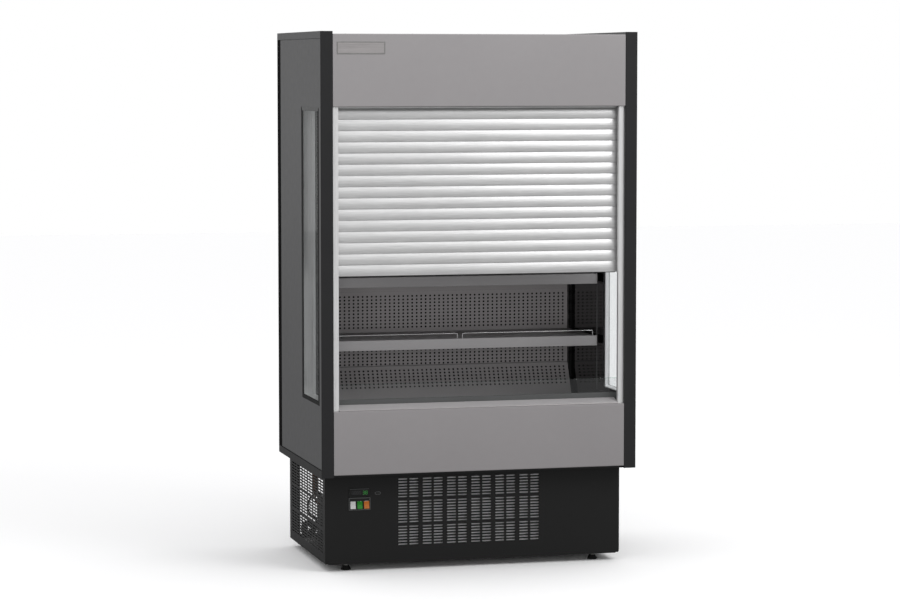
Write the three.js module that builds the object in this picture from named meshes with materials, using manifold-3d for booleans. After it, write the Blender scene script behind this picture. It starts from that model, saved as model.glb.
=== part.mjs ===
// Open multideck display fridge with a roller shutter over its open front.
// Millimetres, +Z up. Origin at the bottom centre of the cabinet's box: -Y is the
// shopper's side, +X is to the right seen from the front.

import * as THREE from 'three';
import { mergeGeometries, mergeVertices } from 'three/addons/utils/BufferGeometryUtils.js';
import Module from 'manifold-3d';

const wasm = await Module();
wasm.setup();

// ---------------------------------------------------------------- dimensions

const WIDTH = 1200;
const DEPTH = 794;
const HEIGHT = 1988;
const GAP = 0.3;
const MERGE = 0.01;

// depths are measured back from the front of the nose strips
const back = d => d - DEPTH / 2;

// end panels
const END_WALL = 45.7;
const INNER_X = WIDTH / 2 - END_WALL;
const BODY_BOTTOM = 363.5;
const NOSE_DEPTH = 4;
const TRIM_THICK = 2;
const TOP_TRIM = 26;
const BOTTOM_TRIM = 29.5;
const REAR_TRIM = 57;
const TRIM_GROOVE = 1.5;
const WINDOW = { y0: 64, y1: 322, z0: 642, z1: 1698 };
const GASKET = { y0: 38, y1: 350, z0: 625, z1: 1712 };
const PANE = { near: 568, far: 588, bite: 9 };

// shell
const SHEET = 1.5;
const FASCIA_X = INNER_X - 0.5;
const UPPER_FASCIA = { z0: 1714.4, z1: 1978.4 };
const LOWER_FASCIA = { z0: 371.9, z1: 606.8 };
const FASCIA_FRONT = 1.5;
const FASCIA_RETURN = { top: 60, middle: 26, low: 13 };
const ROOF = { z0: 1940, z1: 1976.5, front: 31, lip: 12, sunk: 3 };
const REAR_WALL = { y0: 753, y1: 793, grooveDepth: 3, grooves: [-300, 0, 300] };
const TUB = { z0: 363.5, floor: 406, front: 14, wall: 54, rim: 600, rear: 750, fillet: 14 };

// sill, low front glass and shutter guides
const SILL = { y0: 3, y1: 62, z0: 607.1, frontTop: 609, backTop: 625, halfLength: 532 };
const CHANNEL = { y0: 62.3, y1: 77, top: 642, floor: 612 };
const FRONT_GLASS = { y0: 66.5, y1: 72.5, top: 697 };
const RAIL = {
  x0: 532.5, y0: 12, y1: 61.5, z0: 602.2, z1: 1852,
  lip: 28, wall: 2, slot0: 39.5, slot1: 58.5, rib: 546, web: 2.5,
};

// roller shutter
const SLAT = { pitch: 40.8, crest: 45.5, lip: 46.6, tuck: 49.4, rear: 54.5, halfLength: 549 };
const CURTAIN_BOTTOM = 1094.5;
const BOTTOM_BAR = { height: 43.7, seal: 2.5, rear: 55.5 };
const CURTAIN_SLATS = 15;
const RUN_TOP = 1858;
const ROLL = { y: 140, z: 1860, outer: 58, slatThick: 8, slatsPerTurn: 8, halfLength: 544, stub: 12 };

// inside
const BACK_PANEL = { y0: 690, z0: 699.5, z1: 1716, halfWidth: 540.5 };
const SLOPE_FOOT = { y: 624, z: 559.3 };
const DECK = { top: 558.5, thick: 2.5, front: 80.5, rear: 660, rim: 601.8, lap: 34 };
const DECK_WAYS = { starts: [-400, -133, 134], length: 246 };
const INTAKE = { count: 16, pitch: 66, half: 28, y0: 98, y1: 128 };
const CANOPY = { z: 1718, front: 84, rear: 691.5 };
const OUTLET = { count: 16, pitch: 66, half: 29, y0: 96, y1: 126 };
const STANDARD = { x0: 541.2, y0: 672, y1: 697, z0: 575, z1: 1716, wall: 2, pitch: 237 / 6 };
const SHELF = { first: 836, pitch: 237, count: 4, halfLength: 540, front: 296, rear: 666, rail: 39 };
const FENCE = { height: 21, wire: 3.6, x0: 10, x1: 525, y: 305 };
const BRACKET = { x0: 544, x1: 547, nose: 30, root: 66, hookDrop: 15, hookThick: 3 };

// base and machinery
const BASE = { x: 568, y0: 99, y1: 741, z0: 28, top: 363.2, post: 38, lip: 18, ring: 24 };
const SLOT = { height: 5, rowPitch: 10.9 };
const FRONT_SLOTS = { x0: -290, pitch: 93.2, length: 76.8, columns: 6 };
const FRONT_ROWS = [{ z: 337.5, rows: 7 }, { z: 254, rows: 8 }, { z: 160, rows: 7 }];
const SIDE_SLOTS = { y0: 130, pitch: 195, length: 183, columns: 3 };
const SIDE_ROWS = [{ z: 335, rows: 4 }, { z: 242.5, rows: 4 }, { z: 146.5, rows: 4 }];
const FOOT = { x: 478, y0: 150, y1: 690, radius: 19, stud: 5 };
const FEET = [
  ['front_left_foot', -FOOT.x, FOOT.y0],
  ['front_right_foot', FOOT.x, FOOT.y0],
  ['rear_left_foot', -FOOT.x, FOOT.y1],
  ['rear_right_foot', FOOT.x, FOOT.y1],
];
const CONTROLLER = { x: -438.3, z: 292.9, width: 78, height: 31.4, proud: 4, wall: 3.4 };
const BEZEL = { x: -437.4, z: 251.2, width: 82, height: 46.8, proud: 4, wall: 2.5 };
const ROCKER = { x: -436.2, z: 246.5, width: 20, height: 28, pitch: 25.8, rise: 3.6, tilt: 7 };
const GROMMET = { x: -368, z: 289, width: 23, height: 11, rim: 3 };
const BADGE = { x0: -540, x1: -359, z0: 1904, z1: 1951 };
const CONDENSER = { x0: -300, x1: 260, y0: 112, y1: 170, z0: 60, z1: 350, fins: 20 };
const SHROUD = { rear: 230, hole: 5 };
const CONDENSER_FAN = { x: -20, y: 216, z: 205, radius: 118, motorY: 242, arm: 150 };
const EVAPORATOR = { x: 470, y0: 330, y1: 560, z0: 412, z1: 545, fins: 16 };
const EVAPORATOR_FAN = { x: 0, y: 262, z: 476, radius: 60 };
const COMPRESSOR = { x: -110, y: 520, radius: 92, height: 215 };
const DRIER = { x: -490, y: 640, z: 258, radius: 9.5, length: 88 };
const PIPE_RADIUS = 4;
const ELECTRICAL_BOX = { x0: -470, x1: -330, y0: 560, y1: 700, top: 200, lid: 6 };

// ------------------------------------------------------------- solid helpers

function toSolid(geometry) {
  const bare = geometry.clone();
  bare.deleteAttribute('normal');
  bare.deleteAttribute('uv');
  const welded = mergeVertices(bare, 1e-4);
  const vertProperties = new Float32Array(welded.attributes.position.array);
  const triVerts = new Uint32Array(welded.index.array);
  return new wasm.Manifold(new wasm.Mesh({ numProp: 3, vertProperties, triVerts }));
}

// joined faces that lie in one plane become one face before the mesh is read
function toGeometry(solid) {
  const mesh = solid.asOriginal().simplify(MERGE).getMesh();
  const geometry = new THREE.BufferGeometry();
  geometry.setAttribute('position', new THREE.BufferAttribute(mesh.vertProperties, 3));
  geometry.setIndex(new THREE.BufferAttribute(mesh.triVerts, 1));
  return geometry;
}

const join = (first, ...others) => others.reduce((sum, solid) => sum.add(solid), first);
const cut = (first, ...others) => others.reduce((sum, solid) => sum.subtract(solid), first);

function box(x0, x1, y0, y1, z0, z1) {
  const geometry = new THREE.BoxGeometry(x1 - x0, y1 - y0, z1 - z0);
  geometry.translate((x0 + x1) / 2, (y0 + y1) / 2, (z0 + z1) / 2);
  return toSolid(geometry);
}

// separate blocks as one solid, to cut a whole pattern of holes at once
function blocks(corners) {
  const geometries = corners.map(([x0, x1, y0, y1, z0, z1]) => {
    const geometry = new THREE.BoxGeometry(x1 - x0, y1 - y0, z1 - z0);
    return geometry.translate((x0 + x1) / 2, (y0 + y1) / 2, (z0 + z1) / 2);
  });
  return toSolid(mergeGeometries(geometries));
}

const outline = points => new THREE.Shape(points.map(([u, v]) => new THREE.Vector2(u, v)));
const rectangle = (u0, u1, v0, v1) => outline([[u0, v0], [u1, v0], [u1, v1], [u0, v1]]);

// curveSegments is half the number of sides of a full circle
function extrude(shape, length, curveSegments = 8) {
  return new THREE.ExtrudeGeometry(shape, { depth: length, bevelEnabled: false, curveSegments });
}

// a section drawn in (depth, height), carried along X
function alongX(shape, x0, x1, curveSegments) {
  const turn = new THREE.Matrix4().set(0, 0, 1, x0, 1, 0, 0, -DEPTH / 2, 0, 1, 0, 0, 0, 0, 0, 1);
  return toSolid(extrude(shape, x1 - x0, curveSegments).applyMatrix4(turn));
}

// a section drawn in (x, height), carried back from depth d0 to d1
function alongY(shape, d0, d1, curveSegments) {
  const turn = new THREE.Matrix4().set(1, 0, 0, 0, 0, 0, -1, back(d1), 0, 1, 0, 0, 0, 0, 0, 1);
  return toSolid(extrude(shape, d1 - d0, curveSegments).applyMatrix4(turn));
}

// a section drawn in (x, depth), carried up from z0 to z1
function alongZ(shape, z0, z1, curveSegments) {
  const lift = new THREE.Matrix4().makeTranslation(0, -DEPTH / 2, z0);
  return toSolid(extrude(shape, z1 - z0, curveSegments).applyMatrix4(lift));
}

// a profile of [radius, height] pairs turned about Z
function turned(profile, segments) {
  const points = profile.map(([r, z]) => new THREE.Vector2(r, z));
  const geometry = new THREE.LatheGeometry(points, segments);
  return toSolid(geometry.applyMatrix4(new THREE.Matrix4().makeRotationX(Math.PI / 2)));
}

function moved(solid, x, y, z) {
  return solid.translate([x, y, z]);
}

function wire(points, radius, sides, steps) {
  const path = new THREE.CatmullRomCurve3(points.map(p => new THREE.Vector3(...p)), false, 'centripetal');
  return sweep(path, radius, sides, steps);
}

function sweep(path, radius, sides, steps) {
  const section = new THREE.Shape();
  section.absarc(0, 0, radius, 0, Math.PI * 2, false);
  const options = { steps, bevelEnabled: false, extrudePath: path, curveSegments: sides / 2 };
  return toSolid(new THREE.ExtrudeGeometry(section, options));
}

// the left-hand piece is the right-hand one seen in a mirror
const mirrored = (solid, side) => (side > 0 ? solid : solid.mirror([1, 0, 0]));

// ------------------------------------------------------------ materials, root

const fridge = new THREE.Group();
fridge.name = 'multideck_display_fridge';

const FINISH = {
  greyPaint: [0x9b9696, 0.45, 0.1],
  skinPaint: [0x626262, 0.5, 0.1],
  blackPaint: [0x262626, 0.5, 0.1],
  blackPlastic: [0x1c1c1c, 0.55, 0],
  aluminium: [0xcfcfcf, 0.32, 0.9],
  slats: [0xd8d8d8, 0.4, 0.8],
  shelfPaint: [0x7d7d7d, 0.45, 0.2],
  backPaint: [0x5a5a5a, 0.5, 0.2],
  glass: [0xbfd0cc, 0.05, 0],
  rubber: [0x1a1a1a, 0.8, 0],
  fins: [0x8c8c8c, 0.4, 0.9],
  copper: [0xa5633c, 0.35, 0.9],
  compressor: [0x1b1b1d, 0.4, 0.3],
  white: [0xe2e2e0, 0.35, 0],
  green: [0x2f8f34, 0.3, 0],
  orange: [0xe08a2c, 0.3, 0],
  lamp: [0xf4f4ee, 0.4, 0],
};

function add(name, solid, finish) {
  const [color, roughness, metalness] = FINISH[finish];
  const transparent = finish === 'glass';
  const opacity = transparent ? 0.35 : 1;
  const material = new THREE.MeshStandardMaterial({ color, roughness, metalness, transparent, opacity });
  const mesh = new THREE.Mesh(toGeometry(solid), material);
  mesh.name = name;
  fridge.add(mesh);
}

const SIDES = [['left', -1], ['right', 1]];

// ------------------------------------------------------------ insulated body

// a foamed sandwich panel with the window opening, the seats of the trims round
// its outer face and the bearing cup of the shutter roll on its inner face
function endPanel() {
  const outer = WIDTH / 2 - 0.6;
  const seat = WIDTH / 2 - TRIM_THICK - GAP;
  const rear = DEPTH - 0.3;
  const plate = box(INNER_X, outer, back(NOSE_DEPTH + GAP), back(rear), BODY_BOTTOM, HEIGHT - 0.3);
  const opening = box(INNER_X - 1, WIDTH / 2 + 1, back(GASKET.y0), back(GASKET.y1), GASKET.z0, GASKET.z1);
  const edge = TRIM_GROOVE;
  const topSeat = box(seat, WIDTH / 2 + 1, back(0), back(DEPTH), HEIGHT - TOP_TRIM - edge, HEIGHT + 1);
  const lowSeat = box(seat, WIDTH / 2 + 1, back(0), back(DEPTH),
    BODY_BOTTOM - 1, BODY_BOTTOM + BOTTOM_TRIM + edge);
  const rearSeat = box(seat, WIDTH / 2 + 1, back(DEPTH - REAR_TRIM - edge), back(DEPTH + 1),
    BODY_BOTTOM, HEIGHT + 1);
  const cup = new THREE.Shape();
  cup.absarc(ROLL.y, ROLL.z, ROLL.stub + 14, 0, Math.PI * 2, false);
  const hole = new THREE.Path();
  hole.absarc(ROLL.y, ROLL.z, ROLL.stub + 0.6, 0, Math.PI * 2, true);
  cup.holes.push(hole);
  const bearing = alongX(cup, ROLL.halfLength + 1.2, INNER_X + 0.1, 8);
  return join(cut(plate, opening, topSeat, lowSeat, rearSeat), bearing);
}

// one folded strip that covers the panel's top, rear and bottom edges
function endTrim() {
  const x0 = WIDTH / 2 - TRIM_THICK;
  const front = NOSE_DEPTH + GAP;
  const rear = DEPTH;
  const inner = rear - REAR_TRIM;
  const low = BODY_BOTTOM;
  const shape = outline([
    [front, low], [rear, low], [rear, HEIGHT], [front, HEIGHT], [front, HEIGHT - TOP_TRIM],
    [inner, HEIGHT - TOP_TRIM], [inner, low + BOTTOM_TRIM], [front, low + BOTTOM_TRIM],
  ]);
  return alongX(shape, x0, WIDTH / 2, 4);
}

// the nose strip on the front edge of an end panel, with eased corners
function noseStrip() {
  const x0 = INNER_X;
  const x1 = WIDTH / 2;
  const ease = 1.6;
  const shape = outline([
    [x0, NOSE_DEPTH], [x0, ease], [x0 + ease, 0], [x1 - ease, 0], [x1, ease], [x1, NOSE_DEPTH],
  ]);
  return alongZ(shape, BODY_BOTTOM, HEIGHT, 4);
}

// rubber frame round the end window, grooved for the sealed glass unit
function windowGasket() {
  const ring = box(INNER_X + 1.5, WIDTH / 2 - 1.2, back(GASKET.y0 + GAP), back(GASKET.y1 - GAP),
    GASKET.z0 + GAP, GASKET.z1 - GAP);
  const sight = box(INNER_X, WIDTH / 2, back(WINDOW.y0), back(WINDOW.y1), WINDOW.z0, WINDOW.z1);
  return cut(ring, sight, paneBlock(GAP));
}

function paneBlock(grow) {
  const bite = PANE.bite + grow;
  return box(PANE.near - grow, PANE.far + grow, back(WINDOW.y0 - bite), back(WINDOW.y1 + bite),
    WINDOW.z0 - bite, WINDOW.z1 + bite);
}

for (const [side, sign] of SIDES) {
  add(`${side}_end_panel`, mirrored(endPanel(), sign), 'skinPaint');
  add(`${side}_end_trim`, mirrored(endTrim(), sign), 'blackPaint');
  add(`${side}_nose_strip`, mirrored(noseStrip(), sign), 'blackPlastic');
  add(`${side}_window_gasket`, mirrored(windowGasket(), sign), 'rubber');
  add(`${side}_end_glass`, mirrored(paneBlock(0), sign), 'glass');
}

// the foamed bottom: floor and front wall in one section
function insulatedTub() {
  const { front, rear, wall, floor, rim, z0, fillet } = TUB;
  const section = outline([
    [front, z0], [rear, z0], [rear, floor], [wall + fillet, floor],
    [wall, floor + fillet], [wall, rim], [front, rim],
  ]);
  return alongX(section, -INNER_X + GAP, INNER_X - GAP);
}

// the foamed rear wall, its outer sheet stiffened by pressed grooves
function rearWall() {
  const wall = box(-INNER_X + GAP, INNER_X - GAP, back(REAR_WALL.y0), back(REAR_WALL.y1),
    TUB.z0, HEIGHT - 4);
  const depth = REAR_WALL.grooveDepth;
  const grooves = REAR_WALL.grooves.map(x => {
    const profile = outline([
      [x - 12, 0], [x - 6, -depth], [x + 6, -depth], [x + 12, 0], [x + 12, 1], [x - 12, 1],
    ]);
    return moved(alongZ(profile, TUB.z0 + 90, HEIGHT - 110), 0, REAR_WALL.y1, 0);
  });
  return cut(wall, ...grooves);
}

// the flat roof with a shallow tray in its top
function roofPanel() {
  const { z0, z1, front, lip, sunk } = ROOF;
  const roof = box(-INNER_X + GAP, INNER_X - GAP, back(front), back(REAR_WALL.y0 - GAP), z0, z1);
  const tray = box(-INNER_X + lip, INNER_X - lip, back(front + 2 * lip), back(REAR_WALL.y0 - lip),
    z1 - sunk, z1 + 1);
  return cut(roof, tray);
}

// a fascia is a sheet with returned top and bottom edges
function fascia(z0, z1, topDepth, lowDepth) {
  const y0 = FASCIA_FRONT;
  const y1 = FASCIA_FRONT + SHEET;
  const section = outline([
    [y0, z0], [lowDepth, z0], [lowDepth, z0 + SHEET], [y1, z0 + SHEET], [y1, z1 - SHEET],
    [topDepth, z1 - SHEET], [topDepth, z1], [y0, z1],
  ]);
  return alongX(section, -FASCIA_X, FASCIA_X);
}

add('insulated_tub', insulatedTub(), 'blackPaint');
add('rear_wall', rearWall(), 'skinPaint');
add('roof_panel', roofPanel(), 'skinPaint');
const { top: topReturn, middle: middleReturn, low: lowReturn } = FASCIA_RETURN;
add('upper_fascia', fascia(UPPER_FASCIA.z0, UPPER_FASCIA.z1, topReturn, middleReturn), 'greyPaint');
add('lower_fascia', fascia(LOWER_FASCIA.z0, LOWER_FASCIA.z1, lowReturn, lowReturn), 'greyPaint');

// ------------------------------------------- sill, front glass, shutter guides

function sillCap() {
  const section = outline([
    [SILL.y0, SILL.z0], [SILL.y1, SILL.z0], [SILL.y1, SILL.backTop],
    [SILL.y0 + 2, SILL.frontTop + 0.6], [SILL.y0, SILL.frontTop - 0.6],
  ]);
  return alongX(section, -SILL.halfLength, SILL.halfLength);
}

function glassChannel() {
  const { y0, y1, top, floor } = CHANNEL;
  const section = outline([
    [y0, SILL.z0], [y1, SILL.z0], [y1, top], [FRONT_GLASS.y1 + GAP, top], [FRONT_GLASS.y1 + GAP, floor],
    [FRONT_GLASS.y0 - GAP, floor], [FRONT_GLASS.y0 - GAP, top], [y0, top],
  ]);
  return alongX(section, -INNER_X + 0.7, INNER_X - 0.7);
}

function frontGlass() {
  const ease = 1;
  const { y0, y1, top } = FRONT_GLASS;
  const section = outline([
    [y0, CHANNEL.floor + GAP], [y1, CHANNEL.floor + GAP], [y1, top - ease], [y1 - ease, top],
    [y0 + ease, top], [y0, top - ease],
  ]);
  return alongX(section, -INNER_X + 1.2, INNER_X - 1.2);
}

// An extrusion: a wide front plate with a lip turned back along its inner edge,
// and two ribs on the web that hold the slat ends between them. Behind the upper
// fascia only the web and the ribs go on.
function guideRail() {
  const x1 = INNER_X - GAP;
  const { x0, y0, y1, lip, wall, slot0, slot1, rib, web } = RAIL;
  const face = x1 - web;
  const section = outline([
    [x0, y0], [x1, y0], [x1, y1], [rib, y1], [rib, slot1], [face, slot1],
    [face, slot0], [rib, slot0], [rib, slot0 - wall], [face, slot0 - wall], [face, y0 + wall],
    [x0 + wall, y0 + wall], [x0 + wall, lip], [x0, lip],
  ]);
  const head = box(x0 - 1, x1 + 1, back(y0 - 1), back(slot0 - wall - 1), UPPER_FASCIA.z0 - GAP, RAIL.z1 + 1);
  const foot = box(x0 - 1, x1 + 1, back(y0 - 1), back(FASCIA_RETURN.low + GAP),
    RAIL.z0 - 1, LOWER_FASCIA.z1 + GAP);
  return cut(alongZ(section, RAIL.z0, RAIL.z1), head, foot);
}

add('sill_cap', sillCap(), 'greyPaint');
add('glass_channel', glassChannel(), 'blackPlastic');
add('front_glass', frontGlass(), 'glass');
for (const [side, sign] of SIDES) {
  add(`${side}_guide_rail`, mirrored(guideRail(), sign), 'aluminium');
}

// ------------------------------------------------------------- roller shutter

// The front line of one slat, from its lower lip up to where it tucks behind the
// lip of the slat above. t runs from 0 at the lip to 1 at the tuck.
function slatFront(z, pitch) {
  const steps = 5;
  const points = [[SLAT.tuck, z + 1.2], [SLAT.lip, z + 0.4]];
  for (let i = 1; i <= steps; i += 1) {
    const t = i / steps;
    const bulge = Math.sin(Math.PI * Math.min(1, t * 0.9 + 0.1));
    const depth = SLAT.lip + (SLAT.tuck - SLAT.lip) * t * t - (SLAT.lip - SLAT.crest) * bulge;
    points.push([depth, z + 0.4 + (pitch - 0.4) * t]);
  }
  return points;
}

// the hooks behind each joint line, seen as a shallow rib and groove
function slatRear(z, pitch) {
  const rear = SLAT.rear;
  return [[rear, z + pitch], [rear, z + 9], [rear - 2.6, z + 7.5], [rear - 2.6, z + 5], [rear, z + 3.5]];
}

function slatRun(z0, slats, z1) {
  const front = [];
  const rear = [];
  for (let i = 0; i < slats; i += 1) {
    const z = z0 + i * SLAT.pitch;
    const pitch = Math.min(SLAT.pitch, z1 - z);
    front.push(...slatFront(z, pitch));
    rear.push(...slatRear(z, pitch).reverse());
  }
  front[0][1] = z0;
  const section = outline([...front, ...rear.reverse(), [SLAT.rear, z0]]);
  return alongX(section, -SLAT.halfLength, SLAT.halfLength);
}

// the end slat: the same convex face on a stiffer hollow section, and a narrow
// rubber seal below
function bottomBar() {
  const z0 = CURTAIN_BOTTOM + BOTTOM_BAR.seal;
  const z1 = CURTAIN_BOTTOM + BOTTOM_BAR.height - GAP;
  const { rear } = BOTTOM_BAR;
  const [, ...front] = slatFront(z0, z1 - z0);
  const section = outline([
    ...front, [rear - 1, z1], [rear, z1 - 4], [rear, z0 + 2], [rear - 2, z0],
    [rear - 2, CURTAIN_BOTTOM], [SLAT.tuck, CURTAIN_BOTTOM], [SLAT.tuck, z0],
  ]);
  const chamber = [[49, 8], [53, 8], [53, 30], [49, 30]];
  section.holes.push(new THREE.Path(chamber.map(([y, z]) => new THREE.Vector2(y, z0 + z))));
  return alongX(section, -SLAT.halfLength, SLAT.halfLength);
}

// slats wound on the barrel: each facet is one slat, and the outer turn ends in a
// step one slat thick
function shutterRoll() {
  const steps = 4;
  const { slatsPerTurn: slats, slatThick } = ROLL;
  const points = [];
  for (let i = 0; i < slats; i += 1) {
    for (let j = 0; j < steps; j += 1) {
      const t = j / steps;
      const turn = (i + t) / slats;
      const angle = turn * Math.PI * 2;
      const crown = Math.sin(Math.PI * t) * 1.8;
      const radius = ROLL.outer - slatThick * (1 - turn) + crown - 2;
      points.push([ROLL.y + radius * Math.cos(angle), ROLL.z + radius * Math.sin(angle)]);
    }
  }
  points.push([ROLL.y + ROLL.outer - 2, ROLL.z - 0.01]);
  const wound = alongX(outline(points), -ROLL.halfLength, ROLL.halfLength);
  const shaft = new THREE.Shape();
  shaft.absarc(ROLL.y, ROLL.z, ROLL.stub, 0, Math.PI * 2, false);
  return join(wound, alongX(shaft, -INNER_X + 0.5, INNER_X - 0.5, 8));
}

const curtainFoot = CURTAIN_BOTTOM + BOTTOM_BAR.height;
const curtainTop = curtainFoot + CURTAIN_SLATS * SLAT.pitch;
const runSlats = Math.ceil((RUN_TOP - curtainTop) / SLAT.pitch);
add('shutter_curtain', slatRun(curtainFoot, CURTAIN_SLATS, curtainTop), 'slats');
add('shutter_bottom_bar', bottomBar(), 'slats');
add('shutter_upper_slats', slatRun(curtainTop + GAP, runSlats, RUN_TOP), 'slats');
add('shutter_roll', shutterRoll(), 'slats');

// --------------------------------------------------------------- display space

// the lower pan: front rim on the tub wall, intake slots, rear legs on the floor
function deckPan() {
  const x1 = INNER_X - 0.6;
  const { top, thick, front, rear, rim, lap } = DECK;
  const section = outline([
    [lap, rim - SHEET], [front, rim - SHEET], [front, top - thick], [rear - 2, top - thick],
    [rear - 2, TUB.floor + GAP], [rear, TUB.floor + GAP], [rear, top], [front + 2, top],
    [front + 2, rim], [lap, rim],
  ]);
  const pan = alongX(section, -x1, x1);
  const slots = [];
  for (let i = 0; i < INTAKE.count; i += 1) {
    const x = (i - (INTAKE.count - 1) / 2) * INTAKE.pitch;
    slots.push(box(x - INTAKE.half, x + INTAKE.half, back(INTAKE.y0), back(INTAKE.y1), top - 10, top + 10));
  }
  const ways = DECK_WAYS.starts.map(x => box(x, x + DECK_WAYS.length, back(rear - 5), back(rear + 5),
    TUB.floor + 14, top - 25));
  const corners = SIDES.map(([, s]) => {
    const rail = box(RAIL.x0 - 1, INNER_X, back(20), back(front - 0.5), rim - 3, rim + 3);
    return mirrored(rail, s);
  });
  return cut(pan, ...slots, ...ways, ...corners);
}

// the sloping panel between the deck and the back panel
function lowerBackPanel() {
  const t = SHEET;
  const section = outline([
    [SLOPE_FOOT.y, SLOPE_FOOT.z], [SLOPE_FOOT.y + 14, SLOPE_FOOT.z], [SLOPE_FOOT.y + 14, SLOPE_FOOT.z + t],
    [SLOPE_FOOT.y + 2.2, SLOPE_FOOT.z + t], [BACK_PANEL.y0 + t, BACK_PANEL.z0 - 2.4],
    [BACK_PANEL.y0 + 14, BACK_PANEL.z0 - 2.4], [BACK_PANEL.y0 + 14, BACK_PANEL.z0 - 0.9],
    [BACK_PANEL.y0 - 6, BACK_PANEL.z0 - 0.9], [BACK_PANEL.y0 - 6, BACK_PANEL.z0 - 4.4],
  ]);
  return alongX(section, -BACK_PANEL.halfWidth, BACK_PANEL.halfWidth);
}

// the duct face behind the shelves with its folded side edges; its holes are too
// fine for this outline, so the sheet is plain here
function backDuctPanel() {
  const { y0, z0, z1, halfWidth } = BACK_PANEL;
  const turn = 18;
  const section = outline([
    [-halfWidth, y0], [halfWidth, y0], [halfWidth, y0 + turn], [halfWidth - SHEET, y0 + turn],
    [halfWidth - SHEET, y0 + SHEET], [-halfWidth + SHEET, y0 + SHEET], [-halfWidth + SHEET, y0 + turn],
    [-halfWidth, y0 + turn],
  ]);
  return alongZ(section, z0, z1);
}

// the ceiling of the display space with the air outlet behind the fascia
function canopyDuct() {
  const x1 = INNER_X - 0.6;
  const { z, front, rear } = CANOPY;
  const section = outline([
    [front, z], [rear + 40, z], [rear + 40, z + SHEET], [front + SHEET, z + SHEET],
    [front + SHEET, z + 44], [front + 14, z + 44], [front + 14, z + 44 + SHEET], [front, z + 44 + SHEET],
  ]);
  const sheet = alongX(section, -x1, x1);
  const slots = [];
  for (let i = 0; i < OUTLET.count; i += 1) {
    const x = (i - (OUTLET.count - 1) / 2) * OUTLET.pitch;
    slots.push(box(x - OUTLET.half, x + OUTLET.half, back(OUTLET.y0), back(OUTLET.y1), z - 3, z + 5));
  }
  const ears = SIDES.map(([, s]) => mirrored(box(x1 - SHEET, x1, back(200), back(rear), z + 0.5, z + 60), s));
  return cut(join(sheet, ...ears), ...slots);
}

// lamp profile under the ceiling: flat back, sloped sides, round diffuser
function canopyLamp() {
  const shape = new THREE.Shape();
  const top = CANOPY.z - GAP;
  shape.moveTo(150, top);
  shape.lineTo(150, top - 8);
  shape.absarc(168, top - 8, 18, Math.PI, 2 * Math.PI, false);
  shape.lineTo(186, top);
  return alongX(shape, -515, 515, 5);
}

// slotted upright that the shelf brackets hook into
function shelfStandard() {
  const { x0, y0, y1, z0, z1, wall } = STANDARD;
  const x1 = INNER_X - 0.5;
  const section = outline([
    [x0, y0], [x1, y0], [x1, y1], [x1 - wall, y1], [x1 - wall, y0 + wall], [x0 + wall, y0 + wall],
    [x0 + wall, y1], [x0, y1],
  ]);
  const post = alongZ(section, z0, z1);
  const slots = [];
  for (let z = SHELF.first - 18 - 2 * STANDARD.pitch; z < z1 - 100; z += STANDARD.pitch) {
    slots.push(box(BRACKET.x0 - 1.2, BRACKET.x1 + 1.2, back(y0 - 1), back(y0 + wall + 1), z - 8, z + 8));
  }
  return cut(post, ...slots);
}

const shelfTop = index => SHELF.first + index * SHELF.pitch;

// folded shelf with its price rail at the front and a wire fence on each half
function shelf(index) {
  const top = shelfTop(index);
  const { front, rear, rail, halfLength } = SHELF;
  const plate = top - 3;
  const section = outline([
    [front, top - rail], [front + 15, top - rail], [front + 15, top - rail + SHEET],
    [front + SHEET, top - rail + SHEET], [front + SHEET, plate - SHEET], [rear - SHEET, plate - SHEET],
    [rear - SHEET, plate - 20], [rear, plate - 20], [rear, plate], [front + 3.5, plate],
    [front + 3.5, top], [front, top],
  ]);
  const folded = alongX(section, -halfLength, halfLength);
  const ends = SIDES.map(([, s]) => {
    const cheek = box(halfLength - SHEET, halfLength, back(front + 2), back(rear - 0.2),
      plate - 20, plate - 0.2);
    return mirrored(cheek, s);
  });
  return join(folded, ...ends, ...SIDES.map(([, s]) => mirrored(fence(plate), s)));
}

// a bent wire: up from the shelf, along and down again
function fence(plate) {
  const { height, wire: thick, x0, x1, y } = FENCE;
  const top = plate + 3 + height - thick / 2;
  const bend = 5;
  const path = new THREE.CurvePath();
  const at = (x, z) => new THREE.Vector3(x, back(y), z);
  path.add(new THREE.LineCurve3(at(x0, plate - 1), at(x0, top - bend)));
  path.add(new THREE.QuadraticBezierCurve3(at(x0, top - bend), at(x0, top), at(x0 + bend, top)));
  path.add(new THREE.LineCurve3(at(x0 + bend, top), at(x1 - bend, top)));
  path.add(new THREE.QuadraticBezierCurve3(at(x1 - bend, top), at(x1, top), at(x1, top - bend)));
  path.add(new THREE.LineCurve3(at(x1, top - bend), at(x1, plate - 1)));
  return bentWire(path, thick / 2);
}

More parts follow.
